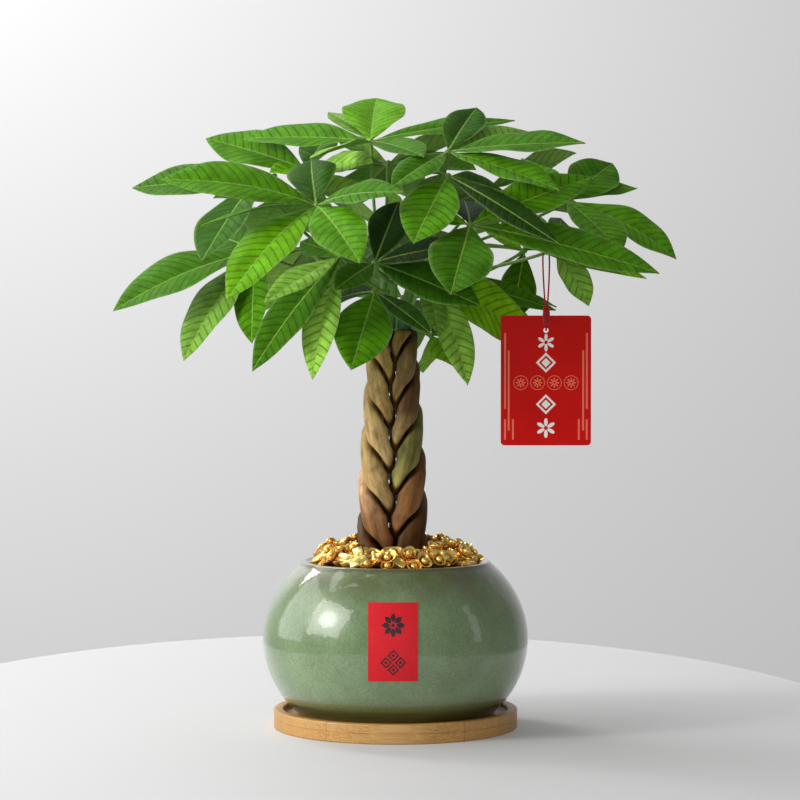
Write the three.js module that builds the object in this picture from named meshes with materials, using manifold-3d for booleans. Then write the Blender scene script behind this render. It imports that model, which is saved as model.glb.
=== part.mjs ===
// Potted money tree: five braided trunks in a round glazed pot on a bamboo saucer, dressed with small
// gold ingots, with palmate leaves on long stalks and a red card hanging from one of the stalks.
// Millimetres, +Z up. The origin is the centre of the saucer's underside, x runs to the viewer's
// right and y away from the viewer.
import * as THREE from "three";
import { mergeGeometries, mergeVertices } from "three/addons/utils/BufferGeometryUtils.js";
import Module from "manifold-3d";

// Driving dimensions
const GAP = 0.3;
const ROUND_STEPS = 32;

const SAUCER = { radius: 79, height: 12.5, recess: 72.5, floor: 8.5, bevel: 1.2 };

const POT = {
  halfWidth: 86,
  halfHeight: 71.3,
  middle: 57.3,
  base: SAUCER.floor,
  rim: 106.8,
  wall: 5,
  floor: 7,
  foot: 52,
  footRecess: 1.5,
  drain: 6,
  steps: 9,
};

const SOIL = { clear: 0.5, wallTop: 104, trunkTop: 109.6, trunkRadius: 23 };

const INGOT = { length: 13.4, breadth: 8.4, height: 6.6, dome: 2.5, sides: 6, tilt: 0.4 };
const DRESSING = {
  inner: 29.2,
  outer: 52.6,
  wallTop: 109.2,
  trunkTop: 116,
  lean: 3.6,
  rings: [35.4, 42.6, 49.8],
  counts: [8, 11, 14],
  steps: 16,
};

// A stem goes round a figure of eight once in a pitch. It spends most of each half turn in front, at an
// almost even depth, and dives behind a little past the middle.
const BRAID = { stems: 5, pitch: 141, start: 259.4, x: -1.9, ground: 110, top: 258, root: 84 };
const WEAVE = { front: 0.75, even: 2.2, late: 0.16, soften: 3 };
const STEM = { sides: 8, rise: 6.8, clear: 0.85, gap: 0.6 };
// Half the braid's width and depth, and a stem's own radius, from the ground up.
const BRAID_SHAPE = [
  { z: 110, across: 12.6, deep: 12.5, radius: 11 },
  { z: 165, across: 12.2, deep: 11.6, radius: 10 },
  { z: 215, across: 10.5, deep: 10.1, radius: 8.4 },
  { z: 258, across: 8.4, deep: 8.5, radius: 7.6 },
];

const SHOOT = { foot: 3.7, head: 3, sides: 7, spans: 4, bud: 0.96 };
const STALK = { radius: 1.25, sides: 6, spans: 3, clear: 0.9, leave: 12, arrive: 14, share: 0.3 };
const BLADE = { thickness: 0.8, arch: 0.02, fold: 0.16, neck: 0.8, point: 0.5, aspect: 0.38, long: 82 };
const BLADE_STATIONS = { long: [0, 0.16, 0.38, 0.62, 0.84, 1], short: [0, 0.2, 0.48, 0.78, 1] };
const HUB = { radius: 2.6, root: 1.1 };

const CARD = {
  width: 57,
  height: 82,
  thickness: 0.9,
  corner: 2.5,
  hole: 1.7,
  drop: 9.3,
  x: 95,
  y: -46,
  top: 267,
};
const KNOT = { radius: 2.4, top: 273.6, bottom: 260.4, forward: 3.6, cord: 0.55 };
const STRING = { radius: 0.55, sides: 8, spans: 18, apex: 309.9 };
const LABEL = { width: 31, height: 48.5, x: -1.5, middle: 64.5, thickness: 0.5 };

// How far from its stem's own line each shoot stands, where it leans to, and how high it is.
const SHOOTS = [
  { foot: [0, 0.6], lean: [13, 10], height: 52 },
  { foot: [1.2, 0.3], lean: [13, -6], height: 44 },
  { foot: [0, 0], lean: [-3, 13], height: 58 },
  { foot: [-2.4, 0.6], lean: [-14, 3], height: 42 },
  { foot: [0.3, -0.6], lean: [3, -9], height: 34 },
];

// Every leaf: its shoot and how far up it starts, the hub where its leaflets meet, and the way its upper
// face looks. Each leaflet is its tip, then its breadth, its roll in degrees and its sideways bend as a
// share of its length, where these aren't the usual ones.
const LEAVES = [
  {
    name: "leaf_top", shoot: 3, at: 1, hub: [-16, 0, 379], faces: [0, -0.55, 1],
    tips: [
      [-13, 76, 412, 42], [-99, 22, 382, 36], [-53, -62, 365, 24, 28], [18, -62, 366, 28],
      [-45, 66, 402, 18], [78, 25, 394, 22],
    ],
  },
  {
    name: "leaf_upper_right", shoot: 2, at: 1, hub: [33, -40, 370], faces: [0.1, -0.5, 1],
    tips: [[53, 20, 402, 27], [119, -55, 375, 34], [101, -88, 344, 32], [-2, -92, 346, 24], [90, 22, 386]],
  },
  {
    name: "leaf_front_centre", shoot: 5, at: 0.95, hub: [33, -62, 354], faces: [0, -1, 1],
    tips: [[11, -118, 311, 36], [99, -112, 311, 20], [72, -20, 344], [3, -10, 366]],
  },
  {
    name: "leaf_left_near", shoot: 5, at: 1, hub: [-49, -75, 335], faces: [-0.2, -0.75, 1], arch: 0.06,
    tips: [
      [-54, -15, 366, 32], [-144, -85, 351, 40], [-118, -110, 322, 16, 28], [-101, -132, 277, 38],
      [-21, -135, 299, 34], [5, -112, 342, 24],
    ],
  },
  {
    name: "leaf_left_mid", shoot: 4, at: 1, hub: [-89, -25, 352], faces: [-0.5, -0.6, 1],
    tips: [[-170, 0, 349, 38], [-120, -72, 301, 40], [-132, 30, 352], [-84, 35, 350]],
  },
  {
    name: "leaf_left_high", shoot: 3, at: 0.9, hub: [-58, 10, 361], faces: [-0.2, -0.7, 1],
    tips: [[-125, 40, 383, 38], [-81, -4, 359, 20], [-14, -30, 364, 28], [-44, 70, 388]],
  },
  {
    name: "leaf_left_low", shoot: 4, at: 0.7, hub: [-88, -30, 308], faces: [-0.6, -0.8, 1],
    tips: [
      [-177, -55, 270, 45, 0, -0.05], [-132, -68, 239, 36, 0, -0.03], [-89, -76, 250, 25], [-129, 40, 322],
    ],
  },
  {
    name: "leaf_front_low_left", shoot: 5, at: 0.7, hub: [-34, -55, 304], faces: [-0.4, -1, 0.8],
    tips: [
      [-88, -90, 233, 30, 0, -0.02], [-51, -92, 228, 24, 0, -0.02], [-80, -103, 275, 22], [-61, -15, 314],
    ],
  },
  {
    name: "leaf_front_mid", shoot: 5, at: 0.9, hub: [-13, -60, 300], faces: [0.2, -1, 0.9],
    tips: [[52, -100, 273, 34], [37, -95, 310, 24], [2, -5, 340], [-37, -100, 283, 20]],
  },
  {
    name: "leaf_trunk_front", shoot: 5, at: 0.4, hub: [-13, -45, 282], faces: [0.1, -1, 0.7],
    tips: [[-27, -98, 234, 37], [22, -90, 256, 15], [-42, 0, 276]],
  },
  {
    name: "leaf_low_right", shoot: 2, at: 0.3, hub: [18, -35, 294], faces: [0.5, -1, 0.8],
    tips: [[45, -75, 224, 26, 0, 0.03], [90, -22, 249, 42], [27, -85, 254, 18], [104, 4, 270, 18]],
  },
  {
    name: "leaf_small_low", shoot: 2, at: 0.12, hub: [23, -7, 254], faces: [0.6, -0.8, 0.8],
    tips: [[18, 31, 229, 16, 80], [40, -28, 233, 32], [38, 44, 258]],
  },
  {
    name: "leaf_right_near", shoot: 2, at: 0.92, hub: [46, -85, 323], faces: [0.2, -0.8, 1],
    tips: [
      [33, -150, 280, 40], [161, -105, 293, 36], [155, -84, 290, 26], [44, -20, 340],
      [124, -45, 354, 34], [15, -72, 329, 18],
    ],
  },
  {
    name: "leaf_right_far", shoot: 1, at: 0.95, hub: [111, 10, 341], faces: [0.4, -0.7, 1],
    tips: [
      [180, -15, 303, 37, 0, 0.07], [142, -45, 307, 36], [145, 68, 368, 34], [161, 60, 351, 17, 0, 0.05],
      [84, 60, 371],
    ],
  },
  {
    name: "leaf_card_stalk", shoot: 1, at: 0.6, hub: [100, -50, 309], faces: [0.5, -0.7, 0.8],
    tips: [[121, -60, 273, 27], [135, -10, 318, 18], [108, 20, 330, 18]],
  },
  {
    name: "leaf_right_low", shoot: 1, at: 0.4, hub: [84, 20, 309], faces: [0.5, -0.6, 0.9],
    tips: [[74, 5, 262, 26], [126, 66, 320, 22], [46, 74, 312, 24], [92, 84, 330, 22], [58, 24, 323, 20]],
  },
  {
    name: "leaf_back_left_high", shoot: 3, at: 1, hub: [-62, 62, 350], faces: [-0.4, 0.6, 1],
    tips: [[-124, 98, 346], [-104, 130, 318], [-55, 135, 322], [-20, 66, 350, 26]],
  },
  {
    name: "leaf_back_centre_high", shoot: 3, at: 0.95, hub: [-5, 62, 368], faces: [0, 0.5, 1],
    tips: [
      [-50, 122, 366], [-33, 112, 340, 34], [8, 140, 348, 36], [55, 115, 366], [44, 66, 386, 28],
      [-40, 66, 384, 24],
    ],
  },
  {
    name: "leaf_back_right_high", shoot: 1, at: 1, hub: [60, 66, 350], faces: [0.4, 0.6, 1],
    tips: [
      [132, 108, 334], [105, 138, 308], [55, 142, 322], [25, 112, 336], [122, 88, 376, 34],
      [14, 84, 354, 22],
    ],
  },
  {
    name: "leaf_back_left_mid", shoot: 4, at: 0.5, hub: [-60, 52, 312], faces: [-0.5, 0.8, 1],
    tips: [[-108, 95, 296], [-92, 124, 268], [-52, 125, 270], [-20, 98, 278]],
  },
  {
    name: "leaf_back_centre_mid", shoot: 3, at: 0.6, hub: [0, 62, 322], faces: [0, 0.8, 1],
    tips: [
      [-44, 104, 344, 30], [-32, 126, 294, 36], [14, 136, 284, 38], [50, 116, 300, 34], [-6, 80, 348, 26],
    ],
  },
  {
    name: "leaf_back_right_low", shoot: 1, at: 0.2, hub: [70, 62, 284], faces: [0.4, -0.2, 1],
    tips: [[108, 70, 272, 17], [94, 84, 255, 20], [62, 118, 262, 22]],
  },
  {
    name: "leaf_back_low", shoot: 3, at: 0.25, hub: [5, 48, 278], faces: [0, 0.9, 0.8],
    tips: [[-26, 92, 246], [10, 104, 238], [45, 86, 250], [-23, 66, 297, 26]],
  },
];

// Solids and meshes
const wasm = await Module();
wasm.setup();

function solidOf(geometry) {
  const bare = geometry.clone();
  bare.deleteAttribute("normal");
  bare.deleteAttribute("uv");
  const merged = mergeVertices(bare, 1e-4);
  return new wasm.Manifold(
    new wasm.Mesh({
      numProp: 3,
      vertProperties: merged.attributes.position.array,
      triVerts: new Uint32Array(merged.index.array),
    }),
  );
}

function geometryOf(solid) {
  const mesh = solid.getMesh();
  const geometry = new THREE.BufferGeometry();
  geometry.setAttribute("position", new THREE.BufferAttribute(new Float32Array(mesh.vertProperties), 3));
  geometry.setIndex(new THREE.BufferAttribute(new Uint32Array(mesh.triVerts), 1));
  geometry.computeVertexNormals();
  return geometry;
}

function fuse(geometries) {
  return geometryOf(geometries.map(solidOf).reduce((whole, piece) => whole.add(piece)));
}

// A closed skin over rings of points. The rings hold as many points on their upper side as on their
// lower side, and both sides are split into triangles alike, so that a thin blade never crosses itself.
function loft(rings) {
  const count = rings[0].length;
  const upper = count / 2;
  const positions = rings.flatMap((ring) => ring.flatMap((p) => [p.x, p.y, p.z]));
  const index = [];
  for (let s = 0; s + 1 < rings.length; s++) {
    for (let i = 0; i < count; i++) {
      const j = (i + 1) % count;
      const a = s * count + i;
      const b = s * count + j;
      const c = a + count;
      const d = b + count;
      if (i < upper) index.push(a, b, d, a, d, c);
      else index.push(a, b, c, b, d, c);
    }
  }
  const last = (rings.length - 1) * count;
  for (let i = 0; 2 * (i + 1) < count; i++) {
    const p = (i + 1) % count;
    const q = count - 1 - i;
    const r = q - 1;
    if (p !== r) {
      index.push(i, r, p, last + i, last + p, last + r);
    }
    index.push(i, q, r, last + i, last + r, last + q);
  }
  const geometry = new THREE.BufferGeometry();
  geometry.setAttribute("position", new THREE.Float32BufferAttribute(positions, 3));
  geometry.setIndex(index);
  return geometry;
}

// A profile that leaves the axis free is closed back to its first point.
function turned(profile, steps = ROUND_STEPS) {
  const points = profile.map(([radius, height]) => new THREE.Vector2(radius, height));
  if (profile[0][0] > 0) points.push(points[0].clone());
  return new THREE.LatheGeometry(points, steps).rotateX(Math.PI / 2);
}

// A round tube along a curve, thick or thin as radiusAt(t) says, with its sections square to the curve.
function tube(curve, spans, sides, radiusAt) {
  const frames = curve.computeFrenetFrames(spans, false);
  const rings = [];
  for (let s = 0; s <= spans; s++) {
    const centre = curve.getPointAt(s / spans);
    const radius = radiusAt(s / spans);
    rings.push(
      Array.from({ length: sides }, (_, i) => {
        const turn = (2 * Math.PI * i) / sides;
        return centre
          .clone()
          .addScaledVector(frames.normals[s], radius * Math.cos(turn))
          .addScaledVector(frames.binormals[s], radius * Math.sin(turn));
      }),
    );
  }
  return rings;
}

function material(color, roughness, metalness = 0) {
  return new THREE.MeshStandardMaterial({ color, roughness, metalness });
}

const MATERIALS = {
  bamboo: material("#c9a062", 0.6),
  celadon: material("#6f8f70", 0.15),
  soil: material("#3a2a1c", 0.95),
  gold: material("#e0a72e", 0.2, 0.9),
  bark: material("#8a6a40", 0.7),
  shoot: material("#5f8a3a", 0.6),
  leaf: material("#2f8a1a", 0.35),
  card: material("#c01410", 0.5),
  label: material("#d9252c", 0.6),
  string: material("#b3161c", 0.8),
};

const plant = new THREE.Group();

function addMesh(name, geometry, finish) {
  const mesh = new THREE.Mesh(geometry, MATERIALS[finish]);
  mesh.name = name;
  plant.add(mesh);
  return mesh;
}

// Saucer: a bamboo disc with a shallow recess for the pot
function saucerGeometry() {
  const { radius, height, recess, floor, bevel } = SAUCER;
  return turned([
    [0, 0],
    [radius - bevel, 0],
    [radius, bevel],
    [radius, height - bevel],
    [radius - bevel, height],
    [recess + bevel, height],
    [recess, height - bevel],
    [recess, floor],
    [0, floor],
  ]);
}

// Pot: a squashed ball, open at the top, with a drain hole
function potRadius(z, inset = 0) {
  const share = (z - POT.middle) / (POT.halfHeight - inset);
  return (POT.halfWidth - inset) * Math.sqrt(1 - share * share);
}

const POT_HEIGHTS = Array.from({ length: POT.steps + 1 }, (_, i) => {
  const half = (POT.rim - POT.base) / 2;
  return POT.base + half - half * Math.cos((Math.PI * i) / POT.steps);
});

// The cavity's side, from the floor up, as radius and height
const CAVITY_HEIGHTS = POT_HEIGHTS.filter((z, i) => i > 2 && (POT.steps - i) % 2 === 0);
const CAVITY = [POT.base + POT.floor, ...CAVITY_HEIGHTS].map((z) => [potRadius(z, POT.wall), z]);

function cavityRadius(z) {
  const i = Math.max(0, CAVITY.findLastIndex((each, n) => each[1] <= z && n < CAVITY.length - 1));
  const [[low, bottom], [high, top]] = [CAVITY[i], CAVITY[i + 1]];
  return THREE.MathUtils.mapLinear(z, bottom, top, low, high);
}

function potGeometry() {
  return turned([
    [POT.drain, POT.base + POT.footRecess],
    [POT.foot, POT.base + POT.footRecess],
    [POT.foot + POT.footRecess, POT.base],
    ...POT_HEIGHTS.map((z) => [potRadius(z), z]),
    [potRadius(POT.rim) - POT.wall / 2, POT.rim + 1],
    ...[...CAVITY].reverse(),
    [POT.drain, CAVITY[0][1]],
  ]);
}

// Braid: the stems go round the figure of eight evenly spaced, from an edge to the middle in front and
// from the middle to the other edge behind.
function braidShape(z) {
  const rows = BRAID_SHAPE;
  const i = Math.max(0, rows.findLastIndex((row, n) => row.z <= z && n < rows.length - 1));
  const share = THREE.MathUtils.clamp((z - rows[i].z) / (rows[i + 1].z - rows[i].z), 0, 1);
  const mix = (key) => THREE.MathUtils.lerp(rows[i][key], rows[i + 1][key], share);
  return { across: mix("across"), deep: mix("deep"), radius: mix("radius") };
}

function braidPhase(k, z) {
  const halfTurns = 2 * (k / BRAID.stems + (BRAID.start - z) / BRAID.pitch);
  const whole = Math.floor(halfTurns);
  const part = halfTurns - whole;
  const { front } = WEAVE;
  return Math.PI * (whole + (part < front ? part / front / 2 : 1 - (1 - part) / (1 - front) / 2));
}

function stemCentre(k, z) {
  const held = THREE.MathUtils.clamp(z, BRAID.ground, BRAID.top);
  const steps = [-WEAVE.soften, 0, WEAVE.soften];
  const phase = steps.reduce((sum, step) => sum + braidPhase(k, held + step), 0) / steps.length;
  const { across, deep } = braidShape(held);
  const depth = Math.tanh(WEAVE.even * Math.sin(2 * phase - WEAVE.late)) / Math.tanh(WEAVE.even);
  return new THREE.Vector2(BRAID.x + across * Math.cos(phase), -deep * depth);
}

// How far stem k reaches at a level towards one side: its radius, or half way to a neighbour there.
function stemReach(k, z, way) {
  const centre = stemCentre(k, z);
  let reach = braidShape(z).radius;
  for (let j = 0; j < BRAID.stems; j++) {
    if (j === k) continue;
    const other = stemCentre(j, z).sub(centre);
    const facing = way.dot(other) / other.length();
    if (facing > 0) reach = Math.min(reach, (other.length() - STEM.gap) / 2 / facing);
  }
  return reach;
}

// A stem's level section, kept clear of its neighbours from a little below to a little above.
function stemSection(k, z, sides, grow = 0) {
  const levels = [-1, -0.5, 0, 0.5, 1].map((share) => z + share * STEM.rise * STEM.clear);
  return Array.from({ length: sides }, (_, i) => {
    const turn = (2 * Math.PI * i) / sides;
    const way = new THREE.Vector2(Math.cos(turn), Math.sin(turn));
    const reach = Math.min(...levels.map((level) => stemReach(k, level, way)));
    return stemCentre(k, z).addScaledVector(way, reach + grow);
  });
}

function stemGeometry(k) {
  const levels = [BRAID.root];
  const steps = Math.ceil((BRAID.top - BRAID.ground) / STEM.rise);
  for (let i = 0; i <= steps; i++) levels.push(BRAID.ground + ((BRAID.top - BRAID.ground) * i) / steps);
  return loft(
    levels.map((z) =>
      stemSection(k, Math.max(z, BRAID.ground), STEM.sides).map((p) => new THREE.Vector3(p.x, p.y, z)),
    ),
  );
}

// Soil: fills the pot, mounded towards the trunk, with a plain hole for each stem
function soilGeometry() {
  const floor = POT.base + POT.floor + GAP;
  const heights = [floor, ...CAVITY_HEIGHTS.filter((z) => z > floor && z < SOIL.wallTop), SOIL.wallTop];
  const mound = solidOf(
    turned([
      [0, floor],
      ...heights.map((z) => [cavityRadius(z) - SOIL.clear, z]),
      [SOIL.trunkRadius, SOIL.trunkTop],
      [0, SOIL.trunkTop],
    ]),
  );
  const holes = Array.from({ length: BRAID.stems }, (_, k) => {
    const outline = stemSection(k, BRAID.ground, STEM.sides, 1.5 * GAP);
    const ends = [BRAID.root - GAP, SOIL.trunkTop + 4];
    return solidOf(loft(ends.map((z) => outline.map((p) => new THREE.Vector3(p.x, p.y, z)))));
  });
  return geometryOf(holes.reduce((left, hole) => left.subtract(hole), mound));
}

// Gold ingots: boats with a dome in the middle, bedded on the mound in rings round the trunk
function seeded(seed) {
  let state = seed;
  return () => {
    state = (state * 1664525 + 1013904223) % 4294967296;
    return state / 4294967296;
  };
}

function heightAt(radius, from, to) {
  return THREE.MathUtils.mapLinear(radius, from[0], to[0], from[1], to[1]);
}

function ingotGeometry() {
  const { length, breadth, height, dome } = INGOT;
  const ring = (x, y, z) =>
    Array.from({ length: INGOT.sides }, (_, i) => {
      const turn = (2 * Math.PI * i) / INGOT.sides;
      return new THREE.Vector3(x * Math.cos(turn), y * Math.sin(turn), z);
    });
  return loft([
    ring(length * 0.38, breadth * 0.4, 0),
    ring(length / 2, breadth * 0.58, height * 0.6),
    ring(dome * 0.8, dome * 0.6, height),
  ]);
}

// The top of the bed under the ingots: level along the wall, and higher behind the trunk than before it
function bedTop(radius, bearing) {
  const { inner, outer, wallTop, trunkTop, lean } = DRESSING;
  return heightAt(radius, [inner, trunkTop + lean * Math.sin(bearing)], [outer, wallTop]);
}

function dressingGeometry() {
  const random = seeded(8);
  const { inner, outer, wallTop, trunkTop, rings, counts } = DRESSING;
  const mound = (radius) =>
    heightAt(radius, [SOIL.trunkRadius, SOIL.trunkTop], [cavityRadius(SOIL.wallTop), SOIL.wallTop]);
  const bed = turned(
    [
      [inner, mound(inner) + GAP],
      [outer, mound(outer) + GAP],
      [outer, wallTop],
      [inner, trunkTop],
    ],
    DRESSING.steps,
  );
  const skin = bed.attributes.position;
  for (let i = 0; i < skin.count; i++) {
    const [x, y] = [skin.getX(i), skin.getY(i)];
    if (skin.getZ(i) > wallTop + GAP) skin.setZ(i, bedTop(Math.hypot(x, y), Math.atan2(y, x)));
  }
  const pieces = rings.flatMap((radius, r) =>
    Array.from({ length: counts[r] }, (_, i) => {
      const bearing = (2 * Math.PI * (i + 0.4 * random())) / counts[r] + r;
      const turn = Math.PI * random();
      const tilt = new THREE.Euler(INGOT.tilt * (random() - 0.5), INGOT.tilt * (random() - 0.5), turn);
      return ingotGeometry()
        .applyMatrix4(new THREE.Matrix4().makeRotationFromEuler(tilt))
        .translate(
          radius * Math.cos(bearing),
          radius * Math.sin(bearing),
          bedTop(radius, bearing) - 0.5 - random(),
        );
    }),
  );
  return fuse([bed, ...pieces]);
}

// Shoots: the green upper end of each stem, from which the leaf stalks spread
function shootCurve(k) {
  const { foot: aside, lean, height } = SHOOTS[k];
  const foot = stemCentre(k, BRAID.top).add(new THREE.Vector2(...aside));
  const z = BRAID.top + GAP;
  return new THREE.QuadraticBezierCurve3(
    new THREE.Vector3(foot.x, foot.y, z),
    new THREE.Vector3(foot.x + lean[0] * 0.2, foot.y + lean[1] * 0.2, z + height * 0.6),
    new THREE.Vector3(foot.x + lean[0], foot.y + lean[1], z + height),
  );
}

function shootRadius(t) {
  return THREE.MathUtils.lerp(SHOOT.foot, SHOOT.head, t);
}

function shootGeometry(k) {
  const rings = tube(shootCurve(k), SHOOT.spans, SHOOT.sides, shootRadius);
  rings[0].forEach((p) => {
    p.z = BRAID.top + GAP;
  });
  return loft(rings);
}

// Leaves: a stalk, a small hub, and leaflets spread round it
function stalkCurve(leaf) {
  const hub = new THREE.Vector3(...leaf.hub);
  const shoot = shootCurve(leaf.shoot - 1);
  const onShoot = shoot.getPointAt(leaf.at * SHOOT.bud);
  const out = hub.clone().sub(onShoot);
  const level = new THREE.Vector3(out.x, out.y, 0).normalize();
  const root = onShoot.clone().addScaledVector(level, shootRadius(leaf.at) + STALK.clear);
  const under = new THREE.Vector3(...leaf.faces).normalize();
  const arrival = out.clone().normalize().add(under).normalize();
  const room = out.length();
  return new THREE.CubicBezierCurve3(
    root,
    root.clone().addScaledVector(level, Math.min(STALK.leave, room * STALK.share)),
    hub.clone().addScaledVector(arrival, -Math.min(STALK.arrive, room * STALK.share)),
    hub,
  );
}

function bladeOutline(t) {
  return Math.pow(Math.sin(Math.PI * Math.pow(t, 1.15)), 0.9) || 0;
}

function leafletGeometry(leaf, [x, y, z, breadth, roll = 0, bend = 0]) {
  const hub = new THREE.Vector3(...leaf.hub);
  const chord = new THREE.Vector3(x, y, z).sub(hub);
  const length = chord.length();
  const along = chord.clone().normalize();
  const lift = new THREE.Vector3(...leaf.faces).projectOnPlane(along).normalize();
  const up = lift.clone().applyAxisAngle(along, THREE.MathUtils.degToRad(roll));
  const side = up.clone().cross(along);
  const halfBreadth = (breadth ?? length * BLADE.aspect) / 2;
  const root = hub.clone().addScaledVector(along, HUB.root);
  const stations = length > BLADE.long ? BLADE_STATIONS.long : BLADE_STATIONS.short;
  return loft(
    stations.map((t) => {
      const middle = root
        .clone()
        .addScaledVector(along, t * (length - HUB.root))
        .addScaledVector(lift, (leaf.arch ?? BLADE.arch) * length * Math.sin(Math.PI * Math.pow(t, 0.85)))
        .addScaledVector(side, bend * length * Math.sin(Math.PI * t));
      const half = Math.max(THREE.MathUtils.lerp(BLADE.neck, BLADE.point, t), halfBreadth * bladeOutline(t));
      const at = (across, above) =>
        middle
          .clone()
          .addScaledVector(side, across * half)
          .addScaledVector(up, Math.abs(across) * half * BLADE.fold + (above * BLADE.thickness) / 2);
      return [at(1, 1), at(0, 1), at(-1, 1), at(-1, -1), at(0, -1), at(1, -1)];
    }),
  );
}

function leafGeometry(leaf) {
  const stalk = loft(tube(stalkCurve(leaf), STALK.spans, STALK.sides, () => STALK.radius));
  const knob = new THREE.OctahedronGeometry(HUB.radius).translate(...leaf.hub);
  const blades = leaf.tips.map((tip) => leafletGeometry(leaf, tip));
  return fuse([stalk, knob, ...blades]);
}

// Label: a thin skin laid over the front of the pot, following its facets
function labelGeometry() {
  const { width, height, x, middle, thickness } = LABEL;
  const facet = (2 * Math.PI) / ROUND_STEPS;
  const ends = [middle - height / 2, middle + height / 2];
  const levels = [ends[0], ...POT_HEIGHTS.filter((z) => z > ends[0] + 2 && z < ends[1] - 2), ends[1]];
  const potSide = (z) => {
    const i = POT_HEIGHTS.findLastIndex((each) => each <= z);
    const [low, high] = [POT_HEIGHTS[i], POT_HEIGHTS[i + 1]];
    return THREE.MathUtils.mapLinear(z, low, high, potRadius(low), potRadius(high));
  };
  const point = (turn, z, off) => {
    const inFacet = THREE.MathUtils.euclideanModulo(turn, facet) - facet / 2;
    const radius = (potSide(z) * Math.cos(facet / 2)) / Math.cos(inFacet) + off;
    return new THREE.Vector3(radius * Math.sin(turn), -radius * Math.cos(turn), z);
  };
  return loft(
    levels.map((z) => {
      const turns = [x - width / 2, 0, x + width / 2].map((across) => Math.asin(across / potSide(z)));
      return [
        ...turns.map((turn) => point(turn, z, GAP + 0.1 + thickness)),
        ...turns.reverse().map((turn) => point(turn, z, GAP + 0.1)),
      ];
    }),
  );
}

// Card: an upright rounded rectangle with a round hole near its upper edge
function cardGeometry() {
  const { width, height, thickness, corner, hole, drop, x, y, top } = CARD;
  const half = width / 2 - corner;
  const outline = new THREE.Shape();
  outline.absarc(half, -corner, corner, Math.PI / 2, 0, true);
  outline.absarc(half, corner - height, corner, 0, -Math.PI / 2, true);
  outline.absarc(-half, corner - height, corner, -Math.PI / 2, -Math.PI, true);
  outline.absarc(-half, -corner, corner, Math.PI, Math.PI / 2, true);
  outline.closePath();
  outline.holes.push(new THREE.Path().absarc(0, -drop, hole, 0, 2 * Math.PI, false));
  return new THREE.ExtrudeGeometry(outline, { depth: thickness, bevelEnabled: false, curveSegments: 4 })
    .rotateX(Math.PI / 2)
    .translate(x, y + thickness / 2, top);
}

// Knot: a wrapped spindle in front of the card, with a small loop through the card's hole
function knotGeometry() {
  const { radius, top, bottom, forward, cord } = KNOT;
  const y = CARD.y - forward;
  const spindle = turned(
    [
      [0, bottom],
      [radius * 0.5, bottom],
      [radius, bottom + 3],
      [radius, top - 3],
      [radius * 0.5, top],
      [0, top],
    ],
    10,
  ).translate(CARD.x, y, 0);
  const eye = CARD.top - CARD.drop;
  const path = new THREE.CatmullRomCurve3(
    [
      [0, bottom + 2],
      [1, eye + 0.6],
      [forward, eye],
      [forward + 1.6, eye + 2.4],
      [forward + 1.6, CARD.top - 1],
      [forward - 0.4, CARD.top + 1.6],
      [0, CARD.top + 2],
    ].map(([back, z]) => new THREE.Vector3(CARD.x, y + back, z)),
  );
  const loop = loft(tube(path, 14, 6, () => cord));
  return fuse([spindle, loop]);
}

// String: one cord up from the knot, over the leaf stalk and down to the knot again
function stringPath() {
  const { apex } = STRING;
  const low = KNOT.top + GAP;
  return new THREE.CatmullRomCurve3(
    [
      [-0.8, -3.6, low],
      [-1.7, -3.3, low + 14],
      [-2.2, -2.8, apex - 8],
      [-1.5, -1.9, apex - 1.8],
      [0, 0, apex],
      [1.5, 1.9, apex - 1.8],
      [2.2, 2.6, apex - 8],
      [1.8, 0.2, low + 14],
      [0.8, -3.3, low],
    ].map(([right, back, z]) => new THREE.Vector3(CARD.x + right, CARD.y + back, z)),
  );
}

function stringGeometry() {
  const { radius, sides, spans } = STRING;
  const section = new THREE.Shape();
  section.absarc(0, 0, radius, 0, 2 * Math.PI, false);
  return new THREE.ExtrudeGeometry(section, {
    steps: spans,
    curveSegments: sides / 2,
    extrudePath: stringPath(),
  });
}

addMesh("saucer", saucerGeometry(), "bamboo");
addMesh("pot", potGeometry(), "celadon");
addMesh("soil", soilGeometry(), "soil");
addMesh("gold_ingots", dressingGeometry(), "gold");
for (let k = 0; k < BRAID.stems; k++) {
  addMesh(`stem_${k + 1}`, stemGeometry(k), "bark");
  addMesh(`shoot_${k + 1}`, shootGeometry(k), "shoot");
}
LEAVES.forEach((leaf) => addMesh(leaf.name, leafGeometry(leaf), "leaf"));
addMesh("pot_label", labelGeometry(), "label");
addMesh("hang_tag", cardGeometry(), "card");
addMesh("tag_knot", knotGeometry(), "string");
addMesh("tag_string", stringGeometry(), "string");

export default plant;
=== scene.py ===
# %% [markdown]
# # A potted money tree
#
# Five stems are braided into one trunk. It stands in a round glazed pot on a bamboo saucer, in a dressing
# of small gold ingots, under a crown of palmate leaves. The solid model already gives each piece its
# place and its size. This notebook gives each piece the form and the finish of the real thing, one
# piece at a time, and never moves what the solid model has settled.

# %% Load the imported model
import functools
import math
import random

import bmesh
import bpy
from mathutils import Matrix, Vector, geometry, noise


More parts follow.
